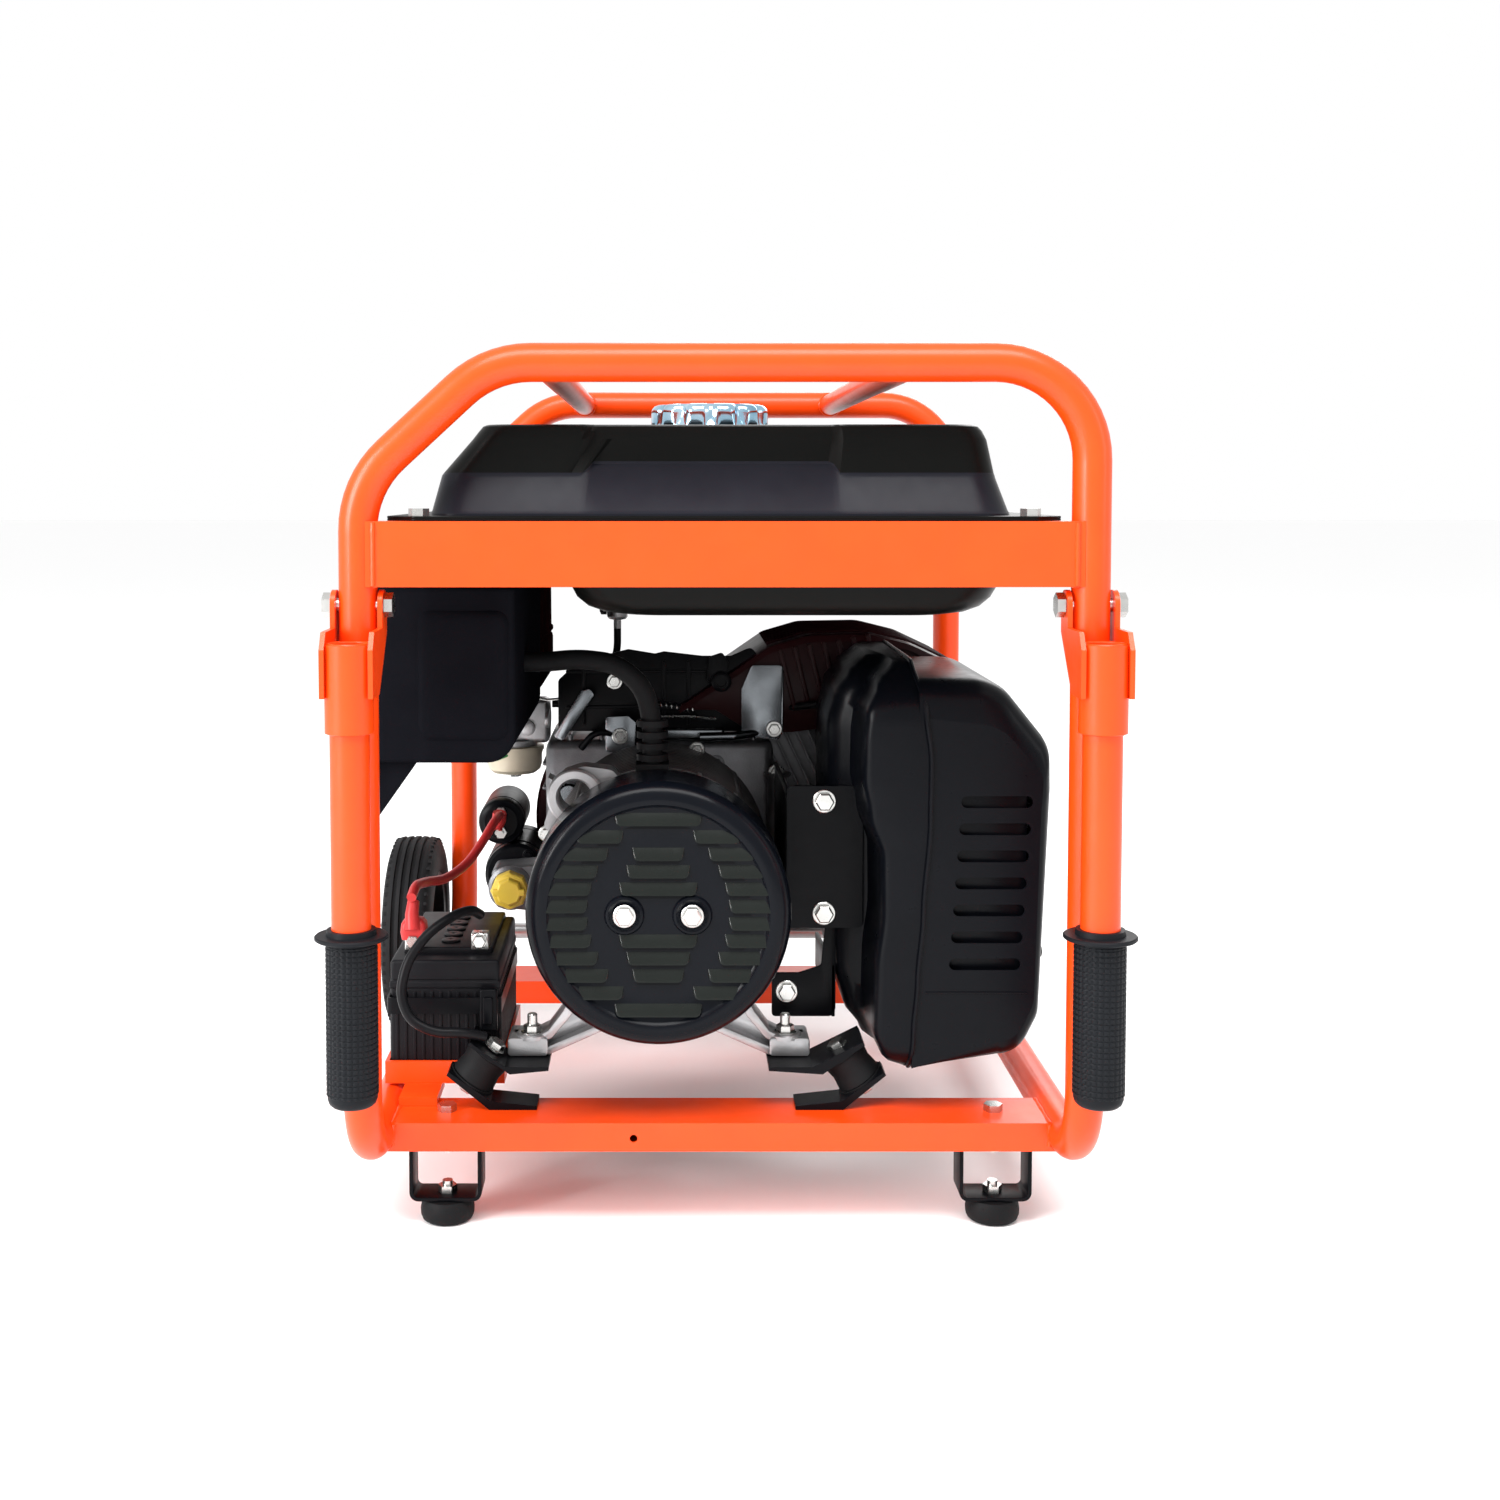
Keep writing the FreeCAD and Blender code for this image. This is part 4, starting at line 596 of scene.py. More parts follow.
def fuel_cap():
    """A round cap with twelve scallops."""
    low, high = span("fuel_cap")
    x, y = (low.xy + high.xy) / 2
    steps = 144
    shape = Shape()

    def rim(radius, height, depth):
        row = []
        for step in range(steps):
            turn = math.tau * step / steps
            wave = 0.5 + 0.5 * math.cos(12 * turn)
            reach = radius - depth * wave ** 3
            row.append((reach * math.cos(turn), reach * math.sin(turn), height))
        return row

    shape.skin([
        rim(40, 617.9, 0), rim(45.5, 618.3, 0), rim(47.4, 620, 0), rim(47.9, 622.5, 2.5), rim(47.9, 630, 4.5),
        rim(47.2, 633.6, 4.5), rim(45, 636, 4.2), rim(42, 637, 3), rim(37, 636.4, 0), rim(34, 634.8, 0),
        rim(30, 634.2, 0), rim(20, 634.6, 0), rim(8, 636, 0), rim(3, 636.3, 0),
    ], shift(x, y, 0))
    # The cap's chrome carries a painted blue sky reflection.
    shape.done("scalloped_fuel_cap", "cap_chrome", "fuel_cap", "fuel_cap", angle=38)


# ---------------------------------------------------------------- alternator

SHAFT_X, SHAFT_Z = -48.0, 249.0
LOUVRED_RADIUS = 91.0
LOUVRE_PITCH = 13.2
LAST_LOUVRE_ROW = 5.5
COVER_BOLT_X = 25.6
FOOT_STUD_X, FOOT_STUD_DEPTH = 101, 122


def louvre_row(index):
    """Spans of the louvres in one row of the end cover, as X from the shaft. Index 0 is the middle."""
    away = abs(index)
    edge = math.sqrt(LOUVRED_RADIUS ** 2 - (away * LOUVRE_PITCH + 6) ** 2) - 1
    if away == LAST_LOUVRE_ROW:
        return [(-33.0, 33.0)]
    spans = [(-edge, -edge + 36), (edge - 36, edge)]
    middle_half = {3.5: 21.5, 2.5: 26, 1.5: 31.5}.get(away)
    if middle_half:
        spans.append((-middle_half + 2, middle_half - 2))
    return spans


def alternator_cover():
    """The pressed end cover: a rolled rim, and rows of louvre hoods round two bolts, with dark strips under
    the hoods as painted shade in the openings.
    """
    low, high = span("alternator_cover")
    y, depth = low.y, high.y - low.y
    at = facing("-Y", SHAFT_X, y, SHAFT_Z)
    shell, hoods, dark = Shape(), Shape(), Shape()
    profile = [(100.9, -depth), (100.9, -13)]
    profile += [(87 + 13.9 * math.cos(a),
                 -13 + 12.6 * math.sin(a)) for a in [math.pi / 2 * step / 9 for step in range(1, 10)]]
    profile += [(84.2, -1.0), (82.2, -3.4), (80.5, -4.2), (60, -4.4), (0, -4.4)]
    shell.lathe(profile, at, 128)
    for side in (-1, 1):
        shell.lathe([(15.5, -4.6), (14, -2.6), (12.4, -2.0), (11, -2.6), (9.4, -3.4), (0, -3.4)],
                    facing("-Y", SHAFT_X + side * COVER_BOLT_X, y, SHAFT_Z), 40)
    for step in range(12):
        index = step - LAST_LOUVRE_ROW
        height = -index * LOUVRE_PITCH
        for start, end in louvre_row(index):
            rows = []
            radius = 5.0
            count = 10
            span_points = [start + radius * (1 - math.cos(math.pi / 2 * k / 5)) for k in range(6)]
            span_points += [end - radius * (1 - math.cos(math.pi / 2 * (5 - k) / 5)) for k in range(6)]
            for position in span_points:
                reach = min(position - start, end - position)
                fade = math.sqrt(max(1 - (1 - min(reach / radius, 1)) ** 2, 0.0))
                section = []
                for k in range(count + 1):
                    part = k / count
                    lift = -4.5 + (0.3 + 2.6 * math.sin(part * math.pi / 2) + 0.8 * part) * fade
                    section.append((position, height + 5.2 - 9.6 * part * (0.35 + 0.65 * fade), lift))
                section.append((position, height + 5.2 - 9.6 * (0.35 + 0.65 * fade), -4.6))
                rows.append(section)
            hoods.skin(rows, at, closed=False)
            # A dark strip under each hood is painted shade standing in for the shadowed opening.
            dark.slab(oblong(start + 3, end - 3, height - 7.2, height - 4.2, 1.2, 3), -4.6, -4.3, at, soft=0)
    shell.done("alternator_cover_shell", "black_paint", "frame", "alternator_cover", finish="cover_paint")
    hoods.done("alternator_louvres", "black_paint", "frame", angle=50, finish="louvre_paint")
    dark.done("alternator_louvre_painted_shade", "black_paint", "frame")


def end_bell():
    """The cast end bell with its lug and two legs, and the stator behind it."""
    low, high = span("alternator_end_bell")
    at = facing("-Y", SHAFT_X, low.y, SHAFT_Z)
    shape = Shape()
    shape.lathe([(95, -0.2), (96, -3), (96, -12), (93.5, -14), (93.5, -30), (96, -32), (96, -41), (95, -43.8),
                 (80, -43.8),
                 (80, -0.2)], at, 112, loop=True)
    for angle in range(10, 370, 20):
        shape.block((92, -1.8, -42), (97.4, 1.8, -2), 0.8, at @ turned(angle))
    arm = soft_loop([(-92, 52), (-80, 88), (-88, 92), (-60, 101), (-36, 98), (-28, 86), (-40, 70), (-70, 38)],
                    [6, 10, 6, 18, 10, 10, 12, 6])
    shape.pierced(arm, [circle(13.5, -66, 78)], -38, -14, at)
    shape.lathe([(22, -12), (22, -4), (20.6, -2.6), (15, -2.6), (13.5, -4.2), (13.5, -12)],
                at @ shift(-66, 78, 0), 48, loop=True)
    for side in (-1, 1):
        leg = [(62, -68), (76, -94), (88, -110), (98, -115), (120, -115), (120, -129.6), (88, -129.6),
               (24, -101),
               (24, -86)]
        outer = [(62, -68), (76, -94), (88, -110), (98, -115), (98, -121), (85, -116), (70, -98), (56, -74)]
        inner = [(24, -95), (24, -101), (88, -129.6), (96, -129.6), (96, -123), (88, -122.5)]
        flange = [(88, -115), (120, -115), (120, -129.6), (88, -129.6)]
        for outline, soft, far, near in ((leg, 4, -30, -20), (outer, 2, -40, -8), (inner, 2, -40, -8),
                                         (flange, 3, -41, -5)):
            outline = [(side * x, y) for x, y in outline]
            shape.slab(soft_loop(outline if side < 0 else outline[::-1], soft), far, near, at, 1.2)
        seat = shift(SHAFT_X + side * FOOT_STUD_X, behind(FOOT_STUD_DEPTH), 0)
        shape.lathe([(13, 132), (13, 135), (11.8, 136), (0, 136)], seat, 32)
    shape.done("alternator_end_casting", "cast_aluminium", "frame", "alternator_end_bell")

    low, high = span("alternator_stator")
    core = Shape()
    rows = []
    depth = high.y - low.y
    count = 34
    for step in range(count + 1):
        height = -depth * step / count
        radius = 93.9 if step % 2 else 95
        rows += [(radius, height), (radius, height - depth / count * 0.8)]
    rows = [(radius, max(height, -depth)) for radius, height in rows]
    core.lathe([(60, 0), *rows, (60, -depth)], facing("-Y", SHAFT_X, low.y, SHAFT_Z), 72, loop=True)
    for angle in (45, 135, 225, 315):
        dx, dz = polar(91, angle)
        x, z = SHAFT_X + dx, SHAFT_Z + dz
        core.sweep([(x, low.y + 1, z), (x, low.y + 60, z), (x, high.y - 1, z)], 5, 12)
    core.done("stator_laminations", "core_steel", "frame", "alternator_stator")


# ---------------------------------------------------------------- mounts

def mounts():
    """The rubber of the leaning front mounts and the upright rear ones."""
    bolts, rubber = Shape(), Shape()
    for side in (-1, 1):
        at = tilted(-side * 35, -42 + side * 146, behind(106), 114)
        rubber.lathe([(17, -12.6), (18.2, -11), (17.4, -5), (16.6, 0), (17.4, 5), (18.2, 11), (17, 12.6),
                      (0, 12.6)], at, 48)
        for height in (-12.8, 12.8):
            rubber.lathe([(19.5, -1), (19.5, 1), (0, 1)], at @ shift(0, 0, height), 48)
        for sign, flip in ((-1, math.pi), (1, 0)):
            bolts.bolt(at @ shift(0, 0, sign * 17) @ Matrix.Rotation(flip, 4, "X"), 6.5, 5, 8.5)
    for x in (-118, 22):
        rubber.lathe([(17, 85.2), (18, 87), (16.8, 95), (16.4, 101), (16.8, 107), (18, 115), (17, 116.8),
                      (0, 116.8)],
                     shift(x, behind(478.5), 0), 48)
    rubber.done("rubber_isolators", "rubber_black", "frame", "rubber_mounts")
    bolts.done("mount_nuts", "zinc", "frame")


# ---------------------------------------------------------------- exhaust

def muffler():
    """An inner half and a vented outer shell, crimped together at a curved seam."""
    # X of the seam, of the inner half's front edge and of its side, each at a height.
    seam = [(118, 147), (150, 149), (190, 152), (242, 156), (315, 161), (360, 161.5), (400, 157), (434, 150)]
    edge = [(118, 140), (127, 126), (150, 119), (198, 120), (242, 124.5), (285, 124), (318, 114),
            (345, 109.5), (375, 110), (396, 112), (418, 122), (434, 138)]
    side = [(118, 134), (130, 116), (150, 103), (187, 94), (229, 90), (300, 88.6), (380, 89), (404, 94),
            (422, 106), (434, 122)]
    bottom, top = 118.5, 434

    def roll_back(z):
        """How far the front face falls back at a height, near the top and the bottom."""
        return max(0, z - 392) ** 2 / 45 + max(0, 140 - z) ** 2 / 26

    body = Shape()
    rows = []
    for step in range(61):
        z = bottom + (top - bottom) * step / 60
        seam_x, edge_x = blend_at(seam, z), blend_at(edge, z)
        side_x = min(blend_at(side, z), edge_x - 1)
        near = 73.5 + roll_back(z)
        row = [(seam_x, near + 0.5), (seam_x - 3, near), ((seam_x + edge_x) / 2 + 4, near + 0.3),
               (edge_x + 7, near + 1.2), (edge_x + 3.2, near + 2.6), (edge_x + 1, near + 5),
               (edge_x, near + 9),
               (edge_x - 0.5, near + 22), (edge_x - 1.5, near + 52)]
        step_width = edge_x - 4 - side_x
        row += [(edge_x - 4 - step_width * part, max(150 - (1 - part) * 9,
                                                     near + 60)) for part in (0, 0.35, 0.8)]
        row += [(side_x, max(160, near + 66)), (side_x, 262), (side_x + 2, 278), (side_x + 9, 292),
                (side_x + 22, 299), (seam_x - 6, 300), (seam_x, 300)]
        rows.append([(x, behind(d), z) for x, d in row])
    body.skin(rows)
    stub = rounded([(138, behind(290), 330), (138, behind(322), 330)], [], 1)
    body.sweep(stub, 15, 32)
    body.lathe([(22, 0), (22, 5), (15, 5), (15, 9)], facing("+Y", 138, behind(304), 330), 40)
    body.done("muffler_inner_half", "exhaust_paint", "frame", "muffler_body", angle=50)

    crimp = Shape()
    heights = [119 + (top - 119) * step / 50 for step in range(51)]
    ridge = [(blend_at(seam, z), behind(72.8 + roll_back(z)), z) for z in heights]
    ridge += [(151, behind(d), 434.2) for d in (130, 180, 230, 290)] + [(154, behind(300),
                                                                         z) for z in (420, 300, 140)]
    ridge += [(147, behind(d), 118.9) for d in (290, 200, 110)]
    crimp.sweep([*ridge, ridge[0]], 1.9, 8)
    crimp.done("muffler_seam", "exhaust_paint", "frame")

    shield = Shape()
    heights = [122 + (423 - 122) * step / 24 for step in range(25)]
    outline = [(blend_at(seam, z) + 0.5, z, 0.0) for z in heights]
    curve = soft_loop([(150, 423), (214, 423), (255, 372), (256, 340), (247.5, 160), (231, 128), (150, 128)],
                      [0, 38, 30, 60, 24, 26, 0], 9)
    outline = outline[::-1] + [(x, z, 1.0) for x, z in curve[::-1][1:-1]]
    centre = Vector((200, 275))

    def inward(x, z, loose):
        """How far a point of the front rim is drawn in: more at the top, where the shell rolls back."""
        crown = min(max((z - 330) / 90, 0), 1)
        away = (centre - Vector((x, z))).normalized()
        return Vector((away.x * loose, away.y * loose - crown * (1.2 if loose else 1.9)))

    rows = []
    for depth, inset in ((73.8, 15), (74.6, 11), (77.5, 6.5), (82, 3.2), (89, 1), (98, 0), (272, 0),
                         (284, 1.6), (293, 6), (299, 14)):
        row = []
        for x, z, loose in outline:
            reach = inward(x, z, loose) * inset
            row.append((x + reach.x, behind(depth), z + reach.y))
        rows.append(row)
    shield.skin(rows, caps=False)
    back = Shape()
    face = [(x + inward(x, z, loose).x * 15, z + inward(x, z, loose).y * 15) for x, z, loose in outline]
    vents = [203.5 + 21 * index for index in range(7)]
    slots = []
    for index, z in enumerate(vents):
        left = 176 + index * 1.4
        slots.append(oblong(left, left + 55, z - 4.6, z + 4.6, 4.5, 5))
    shield.pierced(face, slots, -behind(75.4), -behind(73.8), facing("-Y"))
    shield.sweep([(158, behind(73.9), 181.5), (197, behind(73.7), 181.5), (236, behind(73.9), 181.5)], 0.9, 8)
    upright(back, oblong(166, 236, 142, 372, 20), 80, 82, 0.3)
    upright(back, face, 297.5, 299.2, 0.4)
    for index, z in enumerate(vents):
        back.slab(oblong(behind(110), behind(250), z - 4.6, z + 4.6, 4.5, 5), 251 + index * 0.5, 255.5,
                  facing("+X"), 0.8)
    shield.done("muffler_vented_shell", "exhaust_paint", "frame", "muffler_heat_shield", angle=40)
    back.done("muffler_shell_lining", "exhaust_paint", "frame")

    tail = Shape()
    tail.lathe([(14, 0), (20, 2), (21, 6), (21, 20), (19, 24), (16, 24), (15, 6)],
               facing("+Y", 196, behind(296), 392), 40)
    tail.done("muffler_tail", "exhaust_paint", "frame")


def muffler_plate():
    """The plate that carries the muffler with its stay, and the fasteners at this end."""
    plate, bolts = Shape(), Shape()
    bolt_x, bolt_heights = 85, (228, 319)
    holes = [circle(4.2, bolt_x, z, 20) for z in bolt_heights]
    plate.pierced(oblong(55, 116, 216, 331, 4), holes, -behind(142), -behind(138), facing("-Y"))
    plate.slab(oblong(behind(140), behind(311), 222, 325, 6), 54, 58, facing("+X"), 0.8)
    for z in (252, 296):
        plate.slab([(behind(142), z - 1.5), (behind(200), z - 1.5), (behind(200), z + 1.5),
                    (behind(142), z + 1.5)], 58, 66, facing("+X"), 0.5)
    stay = [(44, 140), (92, 140), (96, 146), (96, 224), (88, 224), (84, 182), (66, 176), (44, 176)]
    upright(plate, soft_loop(stay, 3), 150, 153, 0.6)
    plate.slab([(behind(150), 140), (behind(308), 140), (behind(308), 170), (behind(150), 182)], 92.5, 95.5,
               facing("+X"), 0.6)
    plate.done("muffler_support_plate", "black_paint", "frame", "muffler_bracket")
    cover_front = span("alternator_cover")[0].y + 1.6
    for side in (-1, 1):
        bolts.bolt(facing("-Y", SHAFT_X + side * COVER_BOLT_X, cover_front, SHAFT_Z), 6.4, 5, 8.6)
        stud_x, stud_y = SHAFT_X + side * FOOT_STUD_X, behind(FOOT_STUD_DEPTH)
        bolts.lathe([(4, 112), (4, 150), (3.2, 151), (0, 151)], shift(stud_x, stud_y, 0), 20)
        bolts.bolt(facing("+Z", stud_x, stud_y, 135.6), 6.4, 5, 9)
        bolts.bolt(facing("+Z", stud_x, stud_y, 116.5), 6.4, 5, 9)
    for z in bolt_heights:
        bolts.bolt(facing("-Y", bolt_x, behind(138), z), 6.8, 5, 9.4)
    bolts.bolt(facing("-Y", 56, behind(150), 161), 6.4, 5, 9)
    bolts.done("engine_fasteners", "zinc", "frame", "engine_bolts", angle=28)


# ---------------------------------------------------------------- battery and control box

def battery():
    """The ribbed case, the terminals and their boot, and the hold-down strap."""
    low, high = span("battery_case")
    case, posts = Shape(), Shape()
    top = 196
    case.block((low.x, low.y, low.z), (high.x, high.y, 178), 2.5)
    case.block((low.x - 0.6, low.y - 0.6, 168), (high.x + 0.6, high.y + 0.6, 174), 1.2)
    case.block((low.x, low.y, 172), (high.x, high.y, top - 5), 3)
    case.block((low.x + 8, low.y + 22, top - 8), (high.x - 8, high.y - 4, top), 2)
    for index in range(12):
        x = low.x + 5.5 + index * (high.x - low.x - 11) / 11
        case.block((x - 1.3, low.y - 0.9, 104), (x + 1.3, low.y + 2, 166), 0.6)
        case.block((x - 1.3, high.y - 2, 104), (x + 1.3, high.y + 0.9, 166), 0.6)
    for index in range(20):
        y = low.y + 6 + index * (high.y - low.y - 12) / 19
        for x in (low.x - 0.9, high.x - 1.1):
            case.block((x, y - 1.4, 104), (x + 2, y + 1.4, 166), 0.6)
    for index in range(6):
        case.lathe([(8, top - 1), (8, top + 1.2), (6.5, top + 1.8), (2, top + 1.8), (0, top + 1)],
                   shift((low.x + high.x) / 2, low.y + 42 + index * 19.5, 0), 28)
    case.done("battery_box", "battery_plastic", "frame", "battery_case")
    for x in (-248, -194):
        y = behind(158)
        posts.block((x - 7, y - 6, top - 2), (x + 7, y + 6, top + 12), 1)
        posts.bolt(facing("-Y", x, y - 6, top + 6), 5, 4, 6.5)
    posts.done("battery_terminals", "zinc", "frame")
    boot = Shape()
    boot.skin([level(oblong(-248 - w, -248 + w, behind(158) - d, behind(158) + d, 4), z)
               for z, w, d in ((203, 9.5, 9), (209, 10.5, 10), (216, 9.8, 9.4), (219, 7.5, 7.5),
                               (220, 4.5, 4.5))])
    boot.sweep([(-248, behind(150), 212), (-249, behind(152), 224), (-248.5, behind(158), 233)],
               [6.5, 5.6, 4.9], 16)
    boot.done("battery_terminal_boot", "cable_red", "frame")

    low, high = span("battery_strap")
    strap = Shape()
    thick = 1.8
    outer = oblong(low.x, high.x, low.y, high.y, 5)
    inner = oblong(low.x + thick, high.x - thick, low.y + thick, high.y - thick, 3.4)
    strap.skin([level(outer, 150), level(outer, 163), level(inner, 163), level(inner, 150),
                level(outer, 150)], caps=False)
    strap.block((-191, low.y - 4, 137), (-177, low.y + 3, 171), 1.8)
    strap.block((-188, low.y - 7, 143), (-180, low.y - 3, 165), 1.4)
    strap.done("battery_hold_down", "black_paint", "frame", "battery_strap")


def control_box():
    """The box behind the left leg, and what is on its panel."""
    low, high = span("control_box")
    box = Shape()
    left, right, bottom, top = low.x, high.x, 362.0, high.z
    front, back = low.y, behind(330)
    outline = soft_loop([(left, bottom), (right, bottom), (right, top), (left, top)], [3, 22, 3, 3], 7)
    rows = []
    for y, inset in ((front, 4), (front + 0.6, 2.2), (front + 2, 0.8), (front + 4, 0.1), (back - 4, 0.1),
                     (back - 1.5, 1), (back, 3.4)):
        centre = Vector(((left + right) / 2, (bottom + top) / 2))
        row = []
        for x, z in outline:
            shift_x = inset * (1 if x < centre.x else -1)
            shift_z = inset * (1 if z < centre.y else -1)
            row.append((x + shift_x, y, z + shift_z))
        rows.append(row)
    box.skin(rows)
    dish = [(front, 0), (front - 0.7, 0.5), (front - 1.8, 1.6), (front - 3.0, 3.2), (front - 3.8, 6),
            (front - 4, 10)]
    box.skin([standing(oblong(-229 + inset, -161 - inset, 380 + inset, 478 - inset,
                              max(9 - inset * 0.4, 3), 6), y) for y, inset in dish])
    upright(box, soft_loop([(left, 364), (left, 316), (-264, 316), (-230, 364)], [0, 2, 3, 0], 3), 64, 67,
            0.4)
    for index in range(9):
        x = left + 12 + index * 12.5
        upright(box, oblong(x - 2.4, x + 2.4, 386, 470, 2.2), 329, 331.2, 0.6)
    box.done("control_box_shell", "panel_plastic", "frame", "control_box", angle=36, finish="box_plastic")

    low, high = span("control_panel")
    panel, fittings, dials, metal = Shape(), Shape(), Shape(), Shape()
    plane = low.x
    outline = oblong(-high.y, -low.y, low.z, high.z, 9)
    panel.slab(outline, -high.x, -low.x, facing("-X"), 0.9)
    panel.slab(oblong(-high.y + 8, -low.y - 8, low.z + 8, high.z - 8, 5), -plane - 0.2, -plane + 0.9,
               facing("-X"), 0.5)
    for y in (low.y + 12, high.y - 12):
        for z in (low.z + 12, high.z - 12):
            metal.bolt(facing("-X", plane - 0.6, y, z), 4, 3, 6)
    panel.done("control_face", "black_paint", "frame", "control_panel")
    for depth in (215, 285):
        at = facing("-X", plane - 0.7, behind(depth), 430)
        fittings.lathe([(26, -1), (26, 4.6), (24.6, 6), (20.5, 6), (19.6, 4.6), (19.6, 0.8), (0, 0.8)], at,
                       56)
        fittings.lathe([(31, -0.4), (31, 1.4), (30, 2.2), (26, 2.2), (26, 0)], at, 4)
        for x, y in ((-7, 4), (7, 4), (0, -9)):
            fittings.slab(oblong(x - 1.6, x + 1.6, y - 4, y + 4, 0.8, 3), 0.7, 2.6, at, 0.3)
    dial = facing("-X", plane - 0.7, behind(140), 400)
    fittings.lathe([(23, -1), (23, 3.4), (21.6, 4.6), (19, 4.6), (18.4, 3), (18.4, 0)], dial, 56)
    dials.lathe([(18.3, 0.6), (18.3, 1.4), (0, 1.6)], dial, 48)
    for index in range(11):
        fittings.block((-0.4, 12, 1.2), (0.4, 16, 1.9), 0.15, dial @ turned(60 - index * 12))
    fittings.block((-0.5, -3, 1.4), (0.5, 13, 2.2), 0.2, dial @ turned(28))
    for depth, height in ((75, 455), (75, 425)):
        fittings.lathe([(6, -0.5), (6, 2), (5, 2.6), (4, 2.6)], facing("-X", plane - 0.7, behind(depth),
                                                                       height), 28)
    fittings.done("panel_fittings", "socket_plastic", "frame", "sockets")
    dials.done("panel_dial", "socket_plastic", "frame", finish="dial_white")
    lamp = Shape()
    for height in (455, 425):
        lamp.lathe([(4.2, 1), (4, 3.6), (2.6, 4.8), (0, 5.2)], facing("-X", plane - 0.7, behind(75), height),
                   28)
    lamp.done("panel_lamps", "socket_plastic", "frame", finish="lens_amber")
    for depth in (276, 300):
        metal.lathe([(7, -0.5), (7, 3), (5, 4.4), (3, 4.4)], facing("-X", plane - 0.7, behind(depth), 362),
                    28)
    metal.done("panel_metalwork", "zinc", "frame")


# ---------------------------------------------------------------- engine

# The cylinder leans towards the muffler: local Z of SLOPE runs along it from the shaft.
RISE = math.radians(25)
SLOPE = Matrix((
    (-math.sin(RISE), 0, math.cos(RISE), SHAFT_X),
    (0, -1, 0, behind(375)),
    (math.cos(RISE), 0, math.sin(RISE), SHAFT_Z),
    (0, 0, 0, 1),
))


def crankcase():
    """The crankcase and the finned cylinder, the head, and the spark lead."""
    case = Shape()
    case.block((-150, behind(300), 127), (54, behind(450), 345), 9)
    case.lathe([(0, 14), (34, 14), (38, 11), (46, 9), (84, 6), (90, 2), (91, 0), (91, -4), (0, -4)],
               facing("-Y", SHAFT_X, behind(301), SHAFT_Z), 80)
    for angle in range(15, 375, 40):
        dx, dz = polar(1, angle)
        case.bolt(facing("-Y", SHAFT_X + 88.2 * dx, behind(301), SHAFT_Z + 92 * dz), 4.6, 4, 7.5)
    for x in (-128, -100, -72, -44, -16, 12, 36):
        case.block((x - 1.8, behind(306), 342), (x + 1.8, behind(444), 350), 1.4)
        case.block((x - 1.8, behind(297), 135), (x + 1.8, behind(302), 200), 1.4)
    for z in (150, 172, 194, 300, 322):
        case.block((-153.5, behind(312), z - 1.8), (-148, behind(440), z + 1.8), 1.4)
        case.block((52, behind(312), z - 1.8), (57, behind(440), z + 1.8), 1.4)
    for x0, x1 in ((-162, -100), (4, 66)):
        case.block((x0, behind(456), 117), (x1, behind(500), 127.5), 2.5)
        case.block((x0 + 6, behind(444), 124), (x0 + 14, behind(490), 150), 2.5)
        case.block((x1 - 14, behind(444), 124), (x1 - 6, behind(490), 150), 2.5)
    filler = rounded([(-150, 188), (-196, 192), (-200, 228), (-150, 232)], [6, 6], 6)
    upright(case, [(p.x, p.y) for p in filler], 306, 345, 3)
    case.lathe([(20, 0), (20, 3), (17, 5), (15, 5)], facing("-Y", -182, behind(306), 211), 36)
    case.lathe([(11, 0), (11, 8), (9, 9), (0, 9)], facing("-Y", -96, behind(300), 142), 6)
    case.block((-52, -52, 44), (52, 52, 174), 6, SLOPE)
    for index in range(12):
        u = 58 + index * 9.6
        case.slab(oblong(-62, 62, -62, 62, 12), u, u + 2.4, SLOPE, 0.8)
    case.sweep(rounded([(57, behind(296), 250), (57, behind(296), 314)], [], 1), 9, 24)
    case.lathe([(12, 0), (12, 3), (9, 4)], shift(57, behind(296), 314), 24)
    # The casting takes a darker copy of the cast aluminium: painted shade.
    case.done("engine_casting", "cast_aluminium", "frame", "crankcase", finish="shaded_case_aluminium")

    head = Shape()
    for index in range(4):
        u = 174.5 + index * 10.4
        head.slab(oblong(-62, 62, -62, 62, 12), u, u + 2.6, SLOPE, 0.8)
    head.block((-48, -48, 172), (48, 48, 215), 5, SLOPE)
    head.block((-46, -46, 214), (46, 46, 222), 2, SLOPE)
    head.block((-41, -41, 220), (41, 41, 243.5), 9, SLOPE)
    for x, y in ((-38, -38), (38, -38), (38, 38), (-38, 38)):
        head.lathe([(7, 212), (7, 226), (5, 227.5), (0, 227.5)], SLOPE @ shift(x, y, 0), 24)
    for offset in (-20, 0, 20):
        head.block((-30, offset - 1.6, 242), (30, offset + 1.6, 244.4), 1, SLOPE)
    head.done("engine_head", "engine_paint", "frame", "cylinder_head")

    plug = Shape()
    at = SLOPE @ shift(30, 40, 196) @ turned(-62, "X")
    plug.lathe([(9, 0), (9, 8), (7.5, 10), (7.5, 20), (9.5, 24), (9.5, 46), (8, 50), (0, 50)], at, 28)
    start = at @ Vector((0, 0, 48))
    plug.sweep(rounded([start, start + Vector((-16, -22, 16)), (60, behind(312), 372), (20, behind(330), 362),
                        (8, behind(440), 372)],
                       [12, 24, 30], 8), 3.4, 12)
    plug.done("spark_lead", "cable_black", "frame")


